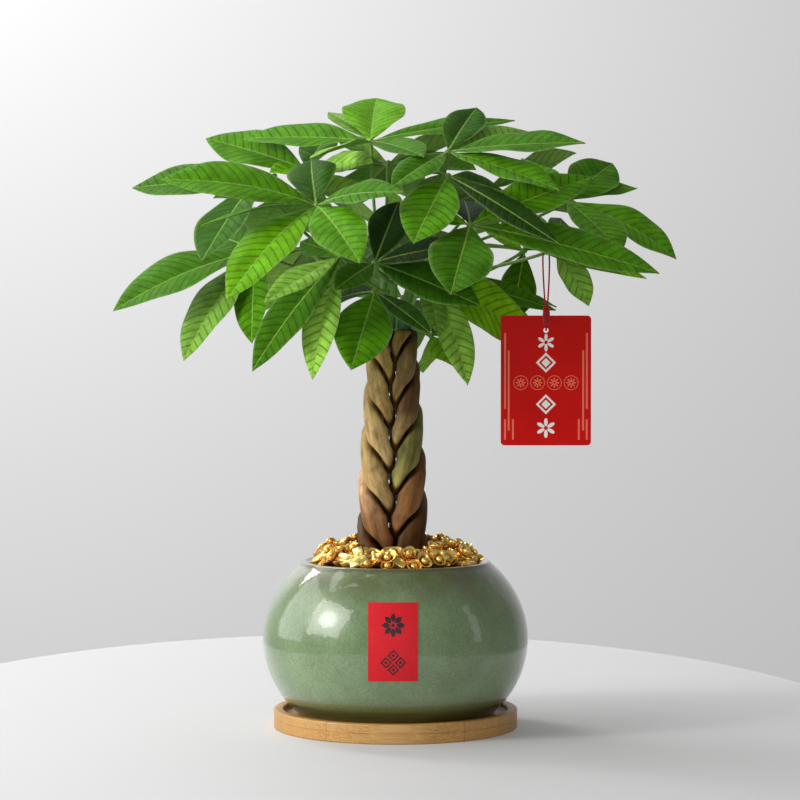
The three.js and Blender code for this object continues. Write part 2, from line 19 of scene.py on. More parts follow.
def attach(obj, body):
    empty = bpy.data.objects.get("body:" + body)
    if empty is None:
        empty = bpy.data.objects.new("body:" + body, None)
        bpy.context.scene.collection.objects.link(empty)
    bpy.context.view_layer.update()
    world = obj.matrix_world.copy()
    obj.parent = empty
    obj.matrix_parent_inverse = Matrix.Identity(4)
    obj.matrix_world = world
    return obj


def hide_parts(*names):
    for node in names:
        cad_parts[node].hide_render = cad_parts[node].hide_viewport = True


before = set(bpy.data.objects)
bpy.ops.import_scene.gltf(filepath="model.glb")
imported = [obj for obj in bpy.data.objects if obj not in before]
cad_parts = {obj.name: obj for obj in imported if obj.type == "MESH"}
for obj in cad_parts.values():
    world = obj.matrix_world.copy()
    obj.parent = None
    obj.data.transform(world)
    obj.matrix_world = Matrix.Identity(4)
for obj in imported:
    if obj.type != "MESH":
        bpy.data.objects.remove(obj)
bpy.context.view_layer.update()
MM = 0.001
BODY = "root"
print("nodes:", len(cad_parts))

# %% [markdown]
# ## Camera
#
# The camera comes first, because every piece is judged through it. It is a long lens from almost two
# metres away, a little above the middle of the plant and tipped down by two degrees, so that the rims of
# the pot and the saucer show as thin ellipses.

# %% Camera
VIEWER = Vector((2.9, -1855, 277.8)) * MM
TIPPED_DOWN = math.radians(2.03)
FOCAL_PIXELS = 2867
IMAGE_PIXELS = 800

camera = bpy.data.objects.new("camera", bpy.data.cameras.new("camera"))
camera.location = VIEWER
camera.rotation_euler = (math.pi / 2 - TIPPED_DOWN, 0, 0)
camera.data.lens = camera.data.sensor_width * FOCAL_PIXELS / IMAGE_PIXELS
bpy.context.scene.collection.objects.link(camera)
bpy.context.scene.camera = camera
bpy.context.scene.view_settings.view_transform = "Standard"
print("lens:", round(camera.data.lens, 1), "mm")

# %% [markdown]
# ## Light and table
#
# Glaze and gold show what stands round them, so the light is a set of soft boxes rather than points. A
# window at the left draws the bright field on the pot and leaves its right side in shade. Three round
# lamps in front of it, each smaller than the last, make a highlight that fades softly to its edge. A wide
# panel behind the window lifts the left side, a box overhead is for the leaves, and one at the front
# fills their shadows. One washes the wall, and a weak one at the right draws the streak down the pot's
# edge. The table is oval: its far edge is the horizon, and its near edge is mirrored in the glaze as a
# line below which the pot is lighter.

# %% Soft boxes
def soft_box(name, place, aim, width, height, watts, shape="RECTANGLE", colour=(1, 1, 1)):
    lamp = bpy.data.lights.new(name, "AREA")
    lamp.shape = shape
    lamp.size = width
    lamp.size_y = height
    lamp.energy = watts
    lamp.color = colour
    box = bpy.data.objects.new(name, lamp)
    box.location = place
    box.rotation_euler = (Vector(aim) - Vector(place)).to_track_quat("-Z", "Y").to_euler()
    bpy.context.scene.collection.objects.link(box)
    return box


POT_SIDE, CROWN, WALL = (-0.04, -0.07, 0.08), (0, 0, 0.3), (-0.4, 2.6, -0.1)
for size, watts in ((0.52, 2.5), (0.36, 3), (0.22, 4)):
    soft_box("round_lamp", (-1.37, -0.62, 0.78), POT_SIDE, size, size, watts, "ELLIPSE")
soft_box("window_left", (-1.5, -0.68, 0.85), POT_SIDE, 1.1, 1.1, 16, colour=(1, 0.99, 0.97))
soft_box("panel_left", (-1.7, 0.4, 0.75), POT_SIDE, 1.2, 1.5, 10)
soft_box("strip_right", (1.25, -0.35, 0.55), CROWN, 0.16, 0.9, 0.4)
soft_box("overhead", (-0.5, 0.3, 1.6), CROWN, 1.3, 1.0, 9)
soft_box("front_fill", (-0.1, -2.4, 0.5), CROWN, 0.8, 0.5, 9.5)
soft_box("wall_wash", (-1.25, 1.4, 1.7), WALL, 1.8, 0.6, 40)

print("lamps:", len(bpy.data.lights))

world = bpy.data.worlds.new("studio")
bpy.context.scene.world = world
world.use_nodes = True
world.node_tree.nodes["Background"].inputs["Color"].default_value = (1, 0.99, 0.97, 1)
world.node_tree.nodes["Background"].inputs["Strength"].default_value = 0.2

# %% [markdown]
# ## Helpers for colours, materials and meshes
#
# Colours are written as the hex values that a colour picker shows, and one function turns them into the
# linear values that the renderer works with. One more function adds a node with its settings and links.
# A node's inputs may be a list, in the order in which the node shows them: a Map Range is its value, from
# low and high, to low and high, and a Mix is its share and its two colours. The last two start a material
# and feed its shader. Meshes are drawn in millimetres and turned into metres once, when they are
# finished.

# %% Colour and node helpers
def linear(hex_colour):
    shares = [int(hex_colour[i:i + 2], 16) / 255 for i in (1, 3, 5)]
    return [s / 12.92 if s <= 0.04045 else ((s + 0.055) / 1.055) ** 2.4 for s in shares] + [1]


def fill(socket, source):
    """Fills an input with a number, a hex colour, a socket, or the first output that a node shows."""
    if isinstance(source, bpy.types.Node):
        source = next(output for output in source.outputs if output.enabled)
    if isinstance(source, bpy.types.NodeSocket):
        socket.id_data.links.new(source, socket)
    else:
        socket.default_value = linear(source) if isinstance(source, str) else source


def add_node(material, kind, inputs=(), stops=(), **settings):
    """Adds one node. Its inputs are named, or are a list in the order in which the node shows them."""
    node = material.node_tree.nodes.new("ShaderNode" + kind)
    for key, value in settings.items():
        setattr(node, key, value)
    if isinstance(inputs, list):
        shown = [socket for socket in node.inputs if socket.enabled]
        pairs = zip(shown, inputs)
    else:
        pairs = [(node.inputs[key], source) for key, source in dict(inputs).items()]
    for socket, source in pairs:
        fill(socket, source)
    for i, (place, colour) in enumerate(stops):
        stop = node.color_ramp.elements[i] if i < 2 else node.color_ramp.elements.new(place)
        stop.position = place
        stop.color = linear(colour)
    return node


def feed(material, **sources):
    """Fills the shader's inputs."""
    shader = material.node_tree.nodes["Principled BSDF"]
    for key, source in sources.items():
        fill(shader.inputs[key.replace("_", " ").title().replace("Ior", "IOR")], source)


def start_material(name, **values):
    """A material, with the values that are the same all over the surface."""
    material = bpy.data.materials.new(name)
    material.use_nodes = True
    feed(material, **values)
    print("finish:", name)
    return material


print("middle grey #808080 is", round(linear("#808080")[0], 3), "in linear light")

# %% Finished meshes
def add_object(name, bm, finishes):
    """Turns a mesh that was drawn in millimetres into an object in metres, at the origin."""
    bmesh.ops.recalc_face_normals(bm, faces=bm.faces)
    bmesh.ops.scale(bm, vec=(MM, MM, MM), verts=bm.verts)
    mesh = bpy.data.meshes.new(name)
    bm.to_mesh(mesh)
    bm.free()
    for finish in finishes:
        mesh.materials.append(finish)
    added = bpy.data.objects.new(name, mesh)
    bpy.context.scene.collection.objects.link(added)
    print(name, "faces:", len(mesh.polygons))
    return added


# %% [markdown]
# ## Table and wall
#
# Table and wall are only a stage. The table is a disc that is drawn out to an oval, and the wall is a
# plain sheet some way behind it.

# %% Table and wall
TABLE = {"middle": (-28, 0, -12), "across": 700, "deep": 1024, "thickness": 24}
WALL_SHEET = {"y": 2600, "lowest": -1500, "highest": 2600, "half": 3000}
WHITE = (1, 1, 1, 1)

# Matt lacquer and wall paint scatter light evenly. Each glows a little, for the light of a white room.
table_paint = start_material(
    "matt table lacquer", base_color="#c4c4c5", roughness=0.7, specular_ior_level=0.25,
    emission_color=WHITE, emission_strength=0.08,
)
wall_paint = start_material(
    "matt wall paint", base_color="#dfdfe0", roughness=0.9, emission_color=WHITE, emission_strength=0.1
)

bm = bmesh.new()
half = Matrix.Diagonal((TABLE["across"] / 2, TABLE["deep"] / 2, 1, 1))
bmesh.ops.create_cone(
    bm, segments=160, radius1=1, radius2=1, depth=TABLE["thickness"], cap_ends=True,
    matrix=Matrix.Translation(TABLE["middle"]) @ half,
)
stage = add_object("table", bm, [table_paint])

bm = bmesh.new()
corners = [
    (side * WALL_SHEET["half"], WALL_SHEET["y"], WALL_SHEET[edge])
    for side, edge in ((-1, "lowest"), (1, "lowest"), (1, "highest"), (-1, "highest"))
]
bm.faces.new([bm.verts.new(corner) for corner in corners])
stage = add_object("wall", bm, [wall_paint])

# %% [markdown]
# ## Red cord
#
# The card hangs on one thin two-ply cord that leaves the knot, goes up over a leaf stalk and comes down
# to the knot again. A limp cord has one real length, so its route is a list of points, and the mesh is a
# tube along it. Two plies twisted round each other are a section with two lobes that turns as it goes.
# The tube is a grid whose rows become rings, each set square to the route. Stems, stalks and leaflets are
# wrapped from the same grid later. Every finished piece rides on the plant's one body and hides the solids
# that it stands for.

# %% Where the card and its cord are
CARD = {"x": 95, "y": -46, "top": 267, "height": 82, "thickness": 0.9, "hole_drop": 9.3}
KNOT = {"top": 273.6, "bottom": 260.4, "forward": 3.6, "windings": 12, "wrap": 0.58, "gap": 0.3}
CORD = {"radius": 0.55, "apex": 309.9, "lay": 2.6, "ply_depth": 0.2}
LOW = KNOT["top"] + KNOT["gap"]
APEX = CORD["apex"]
CORD_ROUTE = [
    (-0.8, -3.6, LOW), (-1.7, -3.3, LOW + 14), (-2.2, -2.8, APEX - 8), (-1.5, -1.9, APEX - 1.8),
    (0, 0, APEX),
    (1.5, 1.9, APEX - 1.8), (2.2, 2.6, APEX - 8), (1.8, 0.2, LOW + 14), (0.8, -3.3, LOW),
]
print("the cord goes up from", round(LOW, 1), "to", APEX, "mm")

# %% Tubes
def tube_skin(bm, around, along, shape):
    """Wraps a grid round into a closed tube. shape(vert, turn, share) puts each point in its place."""
    grid = bmesh.ops.create_grid(bm, x_segments=around, y_segments=along, size=0.5)["verts"]
    for vert in grid:
        shape(vert, vert.co.x + 0.5, vert.co.y + 0.5)
    bmesh.ops.remove_doubles(bm, verts=grid, dist=1e-4)
    ends = [edge for edge in bm.edges if edge.is_boundary]
    bmesh.ops.holes_fill(bm, edges=ends, sides=0)


def smooth_route(points, steps):
    """A smooth curve through given points, with equal steps between each two of them."""
    knots = [Vector(p) for p in points]
    knots = [2 * knots[0] - knots[1]] + knots + [2 * knots[-1] - knots[-2]]
    route = []
    for a, b, c, d in zip(knots, knots[1:], knots[2:], knots[3:]):
        span = geometry.interpolate_bezier(b, b + (c - a) / 6, c - (d - b) / 6, c, steps + 1)
        route += span[:-1]
    return route + [knots[-2]]


def frames_along(route):
    """At each point of a route, two directions square to it that turn as little as they can."""
    frames = []
    across = None
    for i, point in enumerate(route):
        ahead = (route[min(i + 1, len(route) - 1)] - route[max(i - 1, 0)]).normalized()
        if across is None:
            across = ahead.orthogonal().normalized()
        across = (across - ahead * across.dot(ahead)).normalized()
        frames.append((point, across, ahead.cross(across)))
    return frames


def pipe(bm, route, around, radius_at, paint=None):
    """A tube along a route. radius_at(turn, share) may ripple it, and paint(vert, share) colours it."""
    frames = frames_along(route)
    last = len(route) - 1

    def shape(vert, turn, share):
        point, across, over = frames[round(share * last)]
        angle = 2 * math.pi * turn
        vert.co = point + (across * math.cos(angle) + over * math.sin(angle)) * radius_at(turn, share)
        if paint:
            paint(vert, share)

    tube_skin(bm, around, last, shape)


# %% Pieces of the object
def add_piece(name, bm, slot, finishes, *stands_for, smooth_below=40):
    """Adds a piece of the object. It looks smooth where two faces meet at less than the angle."""
    piece = add_object(name, bm, finishes)
    piece.data.shade_smooth()
    piece.data.set_sharp_from_angle(angle=math.radians(smooth_below))
    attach(piece, BODY)
    if stands_for:
        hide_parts(*stands_for)
    return piece


# %% Dyed cotton thread
def speckled(name, grain, detail, colours, strength=0, depth=0, **values):
    """A finish with one noise that tints it and may roughen it. Grain and depth are in millimetres."""
    material = start_material(name, **values)
    place = add_node(material, "TexCoord").outputs["Object"]
    speckles = add_node(material, "TexNoise", {"Vector": place, "Scale": 1 / (grain * MM), "Detail": detail})
    feed(material, base_color=add_node(material, "ValToRGB", [speckles], colours))
    if strength:
        relief = {"Height": speckles, "Strength": strength, "Distance": depth * MM}
        feed(material, normal=add_node(material, "Bump", relief))
    return material


# Twisted thread is matt with a soft sheen on its fibres. The fibres are finer than a pixel, so the noise
# that stands for them is drawn about three times too coarse.
thread = speckled(
    "dyed cotton thread", 0.9, 3, [(0.3, "#8e0d12"), (0.7, "#cf2229")], 0.5, 0.1,
    roughness=0.8, sheen_weight=0.4, sheen_roughness=0.4, specular_ior_level=0.3,
)


# %% Cord
def plies(length, radius, lay):
    """The radius of two plies twisted once round each other every lay millimetres."""
    def radius_at(turn, share):
        lobe = abs(math.cos(2 * math.pi * (turn - share * length / lay)))
        return radius * (1 - CORD["ply_depth"] * (1 - lobe))
    return radius_at


def route_length(route):
    return sum((b - a).length for a, b in zip(route, route[1:]))


cord_route = smooth_route([(CARD["x"] + x, CARD["y"] + y, z) for x, y, z in CORD_ROUTE], 24)
cord_length = route_length(cord_route)
bm = bmesh.new()
pipe(bm, cord_route, 12, plies(cord_length, CORD["radius"], CORD["lay"]))
cord = add_piece("card_cord", bm, "red_cord", [thread], "tag_string")
print("cord length:", round(cord_length, 1), "mm")

# %% [markdown]
# ## Knot
#
# Where the cord meets the card it is wound round itself into a small spindle, and a loop of it passes
# through the hole. The windings are one long helix that swells and narrows like the spindle, and under
# them lies a core, so that no light shows between the turns.

# %% Knot
SPINDLE = {"narrow": 1.35, "swelling": 0.75, "margin": 0.6, "wrap_depth": 0.25, "core_depth": 0.4}


def spindle_radius(share):
    return SPINDLE["narrow"] + SPINDLE["swelling"] * math.sin(math.pi * share) ** 0.6


bm = bmesh.new()
knot_y = CARD["y"] - KNOT["forward"]
wraps = []
margin = SPINDLE["margin"]
steps = KNOT["windings"] * 20
for i in range(steps + 1):
    share = i / steps
    angle = 2 * math.pi * KNOT["windings"] * share
    radius = spindle_radius(share) - SPINDLE["wrap_depth"]
    height = KNOT["bottom"] + margin + share * (KNOT["top"] - KNOT["bottom"] - 2 * margin)
    wraps.append(Vector((CARD["x"] + radius * math.cos(angle), knot_y + radius * math.sin(angle), height)))
pipe(bm, wraps, 8, lambda turn, share: KNOT["wrap"])
core = [Vector((CARD["x"], knot_y, z)) for z in (260.8, 262, 264, 267, 270, 272, 273.2)]
pipe(bm, core, 16, lambda turn, share: spindle_radius(share) - SPINDLE["core_depth"])
eye = CARD["top"] - CARD["hole_drop"]
forward = KNOT["forward"]
loop_points = [
    (0, KNOT["bottom"] + 2), (1, eye + 0.6), (forward, eye), (forward + 1.6, eye + 2.4),
    (forward + 1.6, CARD["top"] - 1), (forward - 0.4, CARD["top"] + 1.6), (0, CARD["top"] + 2),
]
loop_route = smooth_route([(CARD["x"], knot_y + back, z) for back, z in loop_points], 10)
pipe(bm, loop_route, 10, plies(route_length(loop_route), CORD["radius"], CORD["lay"]))
knot = add_piece("card_knot", bm, "red_cord", [thread], "tag_knot", smooth_below=80)

# %% [markdown]
# ## Red card
#
# The card is satin board with rounded corners and a punched hole, and its solid is already as plain as
# the real one, so it keeps its solid. What is printed on it has no thickness to speak of, and the
# material draws it: a place on the card is worked out in millimetres from its foot, and each figure is a
# sum in that place. A stripe is a span of x and a span of z. A ring is one distance from its centre. A
# rosette is a distance that swings with the bearing, and a lozenge is the sum of two distances.

# %% Printed board
# Satin varnish gives a wide, weak gloss, and the paper pulp under it a fine tooth. Pulp is too fine to
# show, so its noise is drawn several times too coarse.
board = start_material("satin printed board", roughness=0.5, specular_ior_level=0.1)
place = add_node(board, "TexCoord").outputs["Object"]
clouds = add_node(board, "TexNoise", {"Vector": place, "Scale": 1 / (26 * MM), "Detail": 2})
red = add_node(board, "ValToRGB", [clouds], [(0.3, "#cb0b04"), (0.75, "#da0e06")])
pulp = add_node(board, "TexNoise", {"Vector": place, "Scale": 1 / (0.8 * MM), "Detail": 4})
tooth = add_node(board, "Bump", {"Height": pulp, "Strength": 0.12, "Distance": 0.1 * MM})

card_foot = Vector((CARD["x"], CARD["y"] - CARD["thickness"] / 2, CARD["top"] - CARD["height"])) * MM
from_foot = add_node(board, "VectorMath", [place, card_foot], operation="SUBTRACT")
in_mm = add_node(board, "VectorMath", [from_foot, 1 / MM], operation="SCALE")
card_place = add_node(board, "SeparateXYZ", [in_mm]).outputs
at_front = add_node(board, "Math", [card_place["Y"], 0, 0.2], operation="COMPARE")
from_axis = add_node(board, "Math", [card_place["X"]], operation="ABSOLUTE")

# %% Stripes
STRIPE_WIDTH = 1.15
STRIPES = [
    # distance from the card's middle line, lowest and highest point
    (25.8, 23, 71), (23.5, 9.5, 60), (25.8, 3.6, 16.6), (20.8, 3.6, 16.6),
]
coral = []
for across, low, high in STRIPES:
    over_width = add_node(board, "Math", [from_axis, across, STRIPE_WIDTH / 2], operation="COMPARE")
    span = [card_place["Z"], (low + high) / 2, (high - low) / 2]
    over_height = add_node(board, "Math", span, operation="COMPARE")
    coral.append(add_node(board, "Math", [over_width, over_height], operation="MULTIPLY"))
print("stripes:", len(coral), "on each side")

# %% Rosettes
RING_PITCH, RING_ROW, RING_HALF = 10.6, 39.6, 0.22
ROSETTES = [
    # x, z, petals, size, radius of the ring round it
    *[((i - 1.5) * RING_PITCH, RING_ROW, 8, 3.2, 4.4) for i in range(4)],
    (0, 65, 6, 5.6, 0), (0, 11, 6, 6.2, 0),
]
white = []
for x, z, petals, size, ring in ROSETTES:
    offset = add_node(board, "VectorMath", [in_mm, (x, 0, z)], operation="SUBTRACT")
    flat = add_node(board, "VectorMath", [offset, (1, 0, 1)], operation="MULTIPLY")
    distance = add_node(board, "VectorMath", [flat], operation="LENGTH")
    axes = add_node(board, "SeparateXYZ", [offset]).outputs
    edge = add_node(board, "Math", [axes["X"], axes["Z"]], operation="ARCTAN2")
    petal_sums = (("MULTIPLY", [petals / 2]), ("COSINE", []), ("ABSOLUTE", []), ("MULTIPLY", [size]))
    for operation, more in petal_sums:
        edge = add_node(board, "Math", [edge, *more], operation=operation)
    inside = add_node(board, "Math", [distance, edge], operation="LESS_THAN")
    eye = add_node(board, "Math", [distance, size * 0.2], operation="GREATER_THAN")
    flower = add_node(board, "Math", [inside, eye], operation="MULTIPLY")
    if ring:
        coral += [add_node(board, "Math", [distance, ring, RING_HALF], operation="COMPARE"), flower]
    else:
        white.append(flower)
print("rosettes:", len(ROSETTES))

# %% Lozenges and ink
LOZENGE = {"size": 6.3, "rows": (52.3, 26), "bands": ((0.86, 0.14), (0.2, 0.26))}
for row in LOZENGE["rows"]:
    offset = add_node(board, "VectorMath", [in_mm, (0, 0, row)], operation="SUBTRACT")
    sides = add_node(board, "VectorMath", [offset], operation="ABSOLUTE")
    axes = add_node(board, "SeparateXYZ", [sides]).outputs
    distance = add_node(board, "Math", [axes["X"], axes["Z"]], operation="ADD")
    for middle, half in LOZENGE["bands"]:
        band = [distance, LOZENGE["size"] * middle, LOZENGE["size"] * half]
        white.append(add_node(board, "Math", band, operation="COMPARE"))

printed = red
for masks, ink in ((coral, "#f97b62"), (white, "#fffcf8")):
    drawn = masks[0]
    for mask in masks[1:]:
        drawn = add_node(board, "Math", [drawn, mask], operation="MAXIMUM")
    drawn = add_node(board, "Math", [drawn, at_front], operation="MULTIPLY")
    printed = add_node(board, "Mix", [drawn, printed, ink], data_type="RGBA")
feed(board, base_color=printed, normal=tooth)
print("nodes of the printed board:", len(board.node_tree.nodes))

# %% Paint a solid
def paint_solid(node, material):
    """Gives a solid that stays as it is its material."""
    mesh = bpy.data.objects[node].data
    mesh.materials.clear()
    mesh.materials.append(material)
    print(node, "keeps its solid, faces:", len(mesh.polygons))


paint_solid("hang_tag", board)

# %% [markdown]
# ## Bamboo saucer
#
# A turned disc of laminated bamboo: two boards glued flat, whose joint shows as a fine line round the
# edge, each board made of strips about 11 mm wide. A profile is drawn once and spun round the upright
# axis, and the pale strips and their darker glue lines are a pattern on the object's own coordinates, so
# they run straight through the whole disc as they do in the wood.

# %% Laminated bamboo
# Oiled wood is half matt under a thin film of oil, and its fibres run along the strips.
STRIP_WIDTH = 11
bamboo = start_material("oiled laminated bamboo", coat_weight=0.2, coat_roughness=0.3)
place = add_node(bamboo, "TexCoord").outputs["Object"]
axes = add_node(bamboo, "SeparateXYZ", [place])
strip = add_node(bamboo, "Math", [axes.outputs["Y"], 1 / (STRIP_WIDTH * MM)], operation="MULTIPLY")
strip_number = add_node(bamboo, "Math", [strip], operation="FLOOR")
strip_tone = add_node(bamboo, "TexWhiteNoise", {"W": strip_number}, noise_dimensions="1D")
along_fibres = add_node(
    bamboo, "Mapping", {"Vector": place, "Scale": (1 / (60 * MM), 1 / (0.9 * MM), 1 / (0.9 * MM))}
)
fibres = add_node(bamboo, "TexNoise", {"Vector": along_fibres, "Scale": 1, "Detail": 4, "Roughness": 0.6})
tone = add_node(bamboo, "Math", [strip_tone, 0.22, fibres], operation="MULTIPLY_ADD")
wood = add_node(bamboo, "ValToRGB", [tone], [(0.3, "#94682f"), (0.58, "#ba8a47"), (0.85, "#d0a260")])
edge_of_strip = add_node(bamboo, "Math", [strip, 1], operation="PINGPONG")
glue = add_node(bamboo, "ValToRGB", [edge_of_strip], [(0, "#ffffff"), (0.035, "#000000")])
wood_and_glue = add_node(bamboo, "Mix", [glue, wood, "#a3783c"], data_type="RGBA")
gloss = add_node(bamboo, "MapRange", {"Value": fibres, "To Min": 0.42, "To Max": 0.6})
pores = add_node(bamboo, "Bump", {"Height": fibres, "Strength": 0.25, "Distance": 0.15 * MM})
feed(bamboo, base_color=wood_and_glue, roughness=gloss, normal=pores)

# %% Saucer
def turned_piece(bm, profile, steps):
    """Spins a profile of (radius, height) points round the upright axis into a closed skin."""
    verts = [bm.verts.new((radius, 0, z)) for radius, z in profile]
    edges = [bm.edges.new(pair) for pair in zip(verts, verts[1:])]
    bmesh.ops.spin(
        bm, geom=verts + edges, cent=(0, 0, 0), axis=(0, 0, 1), angle=2 * math.pi, steps=steps,
        use_merge=True, use_duplicate=False,
    )
    bmesh.ops.remove_doubles(bm, verts=bm.verts, dist=1e-4)


def arc(x, z, radius, start, end, steps=5):
    """Points on an arc, with the angles in degrees."""
    angles = [math.radians(start + (end - start) * i / steps) for i in range(steps + 1)]
    return [(x + radius * math.cos(a), z + radius * math.sin(a)) for a in angles]


SAUCER = {"radius": 79, "height": 12.5, "recess": 72.5, "floor": 8.5, "round": 1.2, "joint": 6.6}
MID_RING = 40
rim, top, inner, floor, soft, joint = [
    SAUCER[key] for key in ("radius", "height", "recess", "floor", "round", "joint")
]
saucer_profile = [(0, 0), (MID_RING, 0)]
saucer_profile += arc(rim - soft, soft, soft, -90, 0)
saucer_profile += [(rim, joint - 0.25), (rim - 0.3, joint), (rim, joint + 0.25)]
saucer_profile += arc(rim - soft, top - soft, soft, 0, 90)
saucer_profile += arc(inner + soft, top - soft, soft, 90, 180)
saucer_profile += [(inner, floor + 0.8), (inner - 0.8, floor), (MID_RING, floor), (0, floor)]
bm = bmesh.new()
turned_piece(bm, saucer_profile, 160)
add_piece("bamboo_saucer", bm, "bamboo", [bamboo], "saucer", smooth_below=35)

# %% [markdown]
# ## Celadon pot
#
# The pot is a squashed ball, thrown on a wheel and dipped in celadon, a green glaze that crazes into a
# fine net as it cools. The glaze is clear glass over colour, so the material has a dark green body, a net
# of hairlines, and a very smooth surface. Brown patches near the rim are a painted reflection of the dark
# leaves over it, the lip is darker, and the olive at the foot is a painted reflection of the saucer and
# painted shade.

# %% Crazed celadon glaze
# Glaze is a thick film of glass: a clear, very smooth coat that mirrors the windows, over a duller body
# that holds the colour. The body drifts in tone over some centimetres, as the glaze is thicker or thinner.
celadon = start_material(
    "crazed celadon glaze", roughness=0.3, coat_weight=1, coat_roughness=0.07, coat_ior=1.5
)
place = add_node(celadon, "TexCoord").outputs["Object"]
height = add_node(celadon, "SeparateXYZ", [place]).outputs["Z"]
drift, patches, wander, ripple = [
    add_node(
        celadon, "TexNoise",
        {"Vector": place, "Scale": 1 / (grain * MM), "Detail": detail, "Roughness": rough},
    )
    for grain, detail, rough in ((30, 3, 0.55), (20, 4, 0.6), (9, 2, 0.5), (12, 3, 0.6))
]
body = add_node(celadon, "ValToRGB", [drift], [(0.3, "#6b8459"), (0.7, "#859d72")])

# Brown in patches near the rim, a painted reflection of the dark leaves above, and darker along the lip.
near_rim = add_node(celadon, "MapRange", [height, 80 * MM, 105 * MM], interpolation_type="SMOOTHSTEP")
patch_share = add_node(celadon, "MapRange", [patches, 0.35, 0.6, 0.25, 0.8])
rim_reflection_and_lip = add_node(celadon, "Math", [near_rim, patch_share], operation="MULTIPLY")
lip = add_node(celadon, "MapRange", [height, 104 * MM, 106.5 * MM, 0, 0.9])
rim_reflection_and_lip = add_node(celadon, "Math", [rim_reflection_and_lip, lip], operation="MAXIMUM")
# Olive at the foot: a painted reflection of the bamboo saucer, and painted shade.
foot_reflection_and_shade = add_node(celadon, "MapRange", [height, 31 * MM, 13 * MM], interpolation_type="SMOOTHSTEP")

# %% Net of hairlines
shifted = add_node(celadon, "Mix", [0.0025, place, wander.outputs["Color"]], data_type="RGBA")
upright = add_node(celadon, "Mapping", {"Vector": shifted, "Scale": (1, 1, 0.62)})
nets = []
for cell, line_width, strength in ((3, 0.07, 0.42), (1.3, 0.12, 0.34)):
    cells = {"Vector": upright, "Scale": 1 / (cell * MM)}
    to_edge = add_node(celadon, "TexVoronoi", cells, feature="DISTANCE_TO_EDGE")
    nets.append(add_node(celadon, "MapRange", [to_edge, 0, line_width, strength, 0]))
net = add_node(celadon, "Math", nets, operation="MAXIMUM")

# Brown for the painted leaf reflection near the rim and along the lip, olive at the foot for a painted
# reflection of the saucer and painted shade, and the dark net over all.
glaze = body
for share, colour in ((rim_reflection_and_lip, "#5e573e"), (foot_reflection_and_shade, "#4b4718"), (net, "#3a4a2c")):
    glaze = add_node(celadon, "Mix", [share, glaze, colour], data_type="RGBA")
dimple = add_node(celadon, "Bump", {"Height": ripple, "Strength": 0.2, "Distance": 1.1 * MM})
feed(celadon, base_color=glaze, normal=dimple, coat_normal=dimple)
print("nodes of the glaze:", len(celadon.node_tree.nodes))

# %% Pot
POT = {"half_width": 86, "half_height": 71.3, "middle": 57.3, "base": 8.5, "rim": 106.8, "wall": 5}
POT.update(foot=52, foot_recess=1.5, drain=6, floor=7)


def pot_radius(z, inset=0):
    share = (z - POT["middle"]) / (POT["half_height"] - inset)
    return (POT["half_width"] - inset) * math.sqrt(max(0, 1 - share * share))


base, rim, wall, foot, drain = [POT[key] for key in ("base", "rim", "wall", "foot", "drain")]
recess, floor = base + POT["foot_recess"], base + POT["floor"]
pot_profile = [(drain, recess), (foot, recess), (foot + POT["foot_recess"], base)]
pot_profile += [(pot_radius(z), z) for z in [base + (rim - base) * i / 44 for i in range(45)]]
pot_profile += [(x, (z + rim) / 2) for x, z in arc(pot_radius(rim) - wall / 2, rim, wall / 2, 20, 160, 8)]
pot_profile += [(pot_radius(z, wall), z) for z in [rim - (rim - floor) * i / 24 for i in range(25)]]
pot_profile += [(drain, floor), pot_profile[0]]
bm = bmesh.new()
turned_piece(bm, pot_profile, 192)
add_piece("celadon_pot", bm, "celadon_glaze", [celadon], "pot", smooth_below=50)

# %% [markdown]
# ## Red label
#
# A strip of red paper is pasted on the front of the pot and follows its curve both ways. A flat grid is
# drawn first and then laid on the ball point by point, and so are the two black ornaments printed on it.

# %% Label paper and ink
# Paper is matt with a fine tooth, which is drawn several times too coarse, so that it shows. Screen-printed
# ink is matt too, and its film is slightly uneven.
label_paper = speckled(
    "red label paper", 0.7, 4, [(0.3, "#d21d27"), (0.7, "#e22a34")], 0.15, 0.1,
    roughness=0.55, specular_ior_level=0.15,
)
black_ink = speckled("black screen ink", 1.2, 3, [(0.3, "#2c1418"), (0.6, "#1d1013")], roughness=0.55)

# %% Flat figures
def flat_figure(bm, points, holes=()):
    """A flat figure in x and z, with its inner rings left open."""
    edges = []
    for ring in (points, *holes):
        verts = [bm.verts.new((x, 0, z)) for x, z in ring]
        edges += [bm.edges.new(pair) for pair in zip(verts, verts[1:] + verts[:1])]
    bmesh.ops.triangle_fill(bm, edges=edges, use_beauty=True, use_dissolve=False)


def rosette(bm, x, z, radius, petals, breadth, steps=10):
    """Pointed petals round an eye."""
    inner = radius * 0.22
    for i in range(petals):
        angle = 2 * math.pi * i / petals
        points = []
        there = [(j / steps, 1) for j in range(steps)]
        back = [(1 - j / steps, -1) for j in range(steps)]
        for share, side in there + back:
            out = inner + (radius - inner) * share
            across = side * breadth / 2 * math.sin(math.pi * share)
            points.append((
                x + out * math.cos(angle) - across * math.sin(angle),
                z + out * math.sin(angle) + across * math.cos(angle),
            ))
        flat_figure(bm, points)
    flat_figure(bm, arc(x, z, radius * 0.15, 0, 345, 15))


def lozenge(bm, x, z, reach, wall):
    """A lozenge outline with a smaller solid lozenge in it."""
    corners = [(1, 0), (0, 1), (-1, 0), (0, -1)]
    outer, inner, core = [
        [(x + cx * size, z + cz * size) for cx, cz in corners]
        for size in (reach, reach - wall, (reach - wall) * 0.5)
    ]
    flat_figure(bm, outer, [inner])
    flat_figure(bm, core)


def thicken(bm, depth):
    """Gives flat figures their thickness towards the viewer."""
    made = bmesh.ops.extrude_face_region(bm, geom=bm.faces[:])["geom"]
    bmesh.ops.translate(bm, vec=(0, -depth, 0), verts=[v for v in made if isinstance(v, bmesh.types.BMVert)])


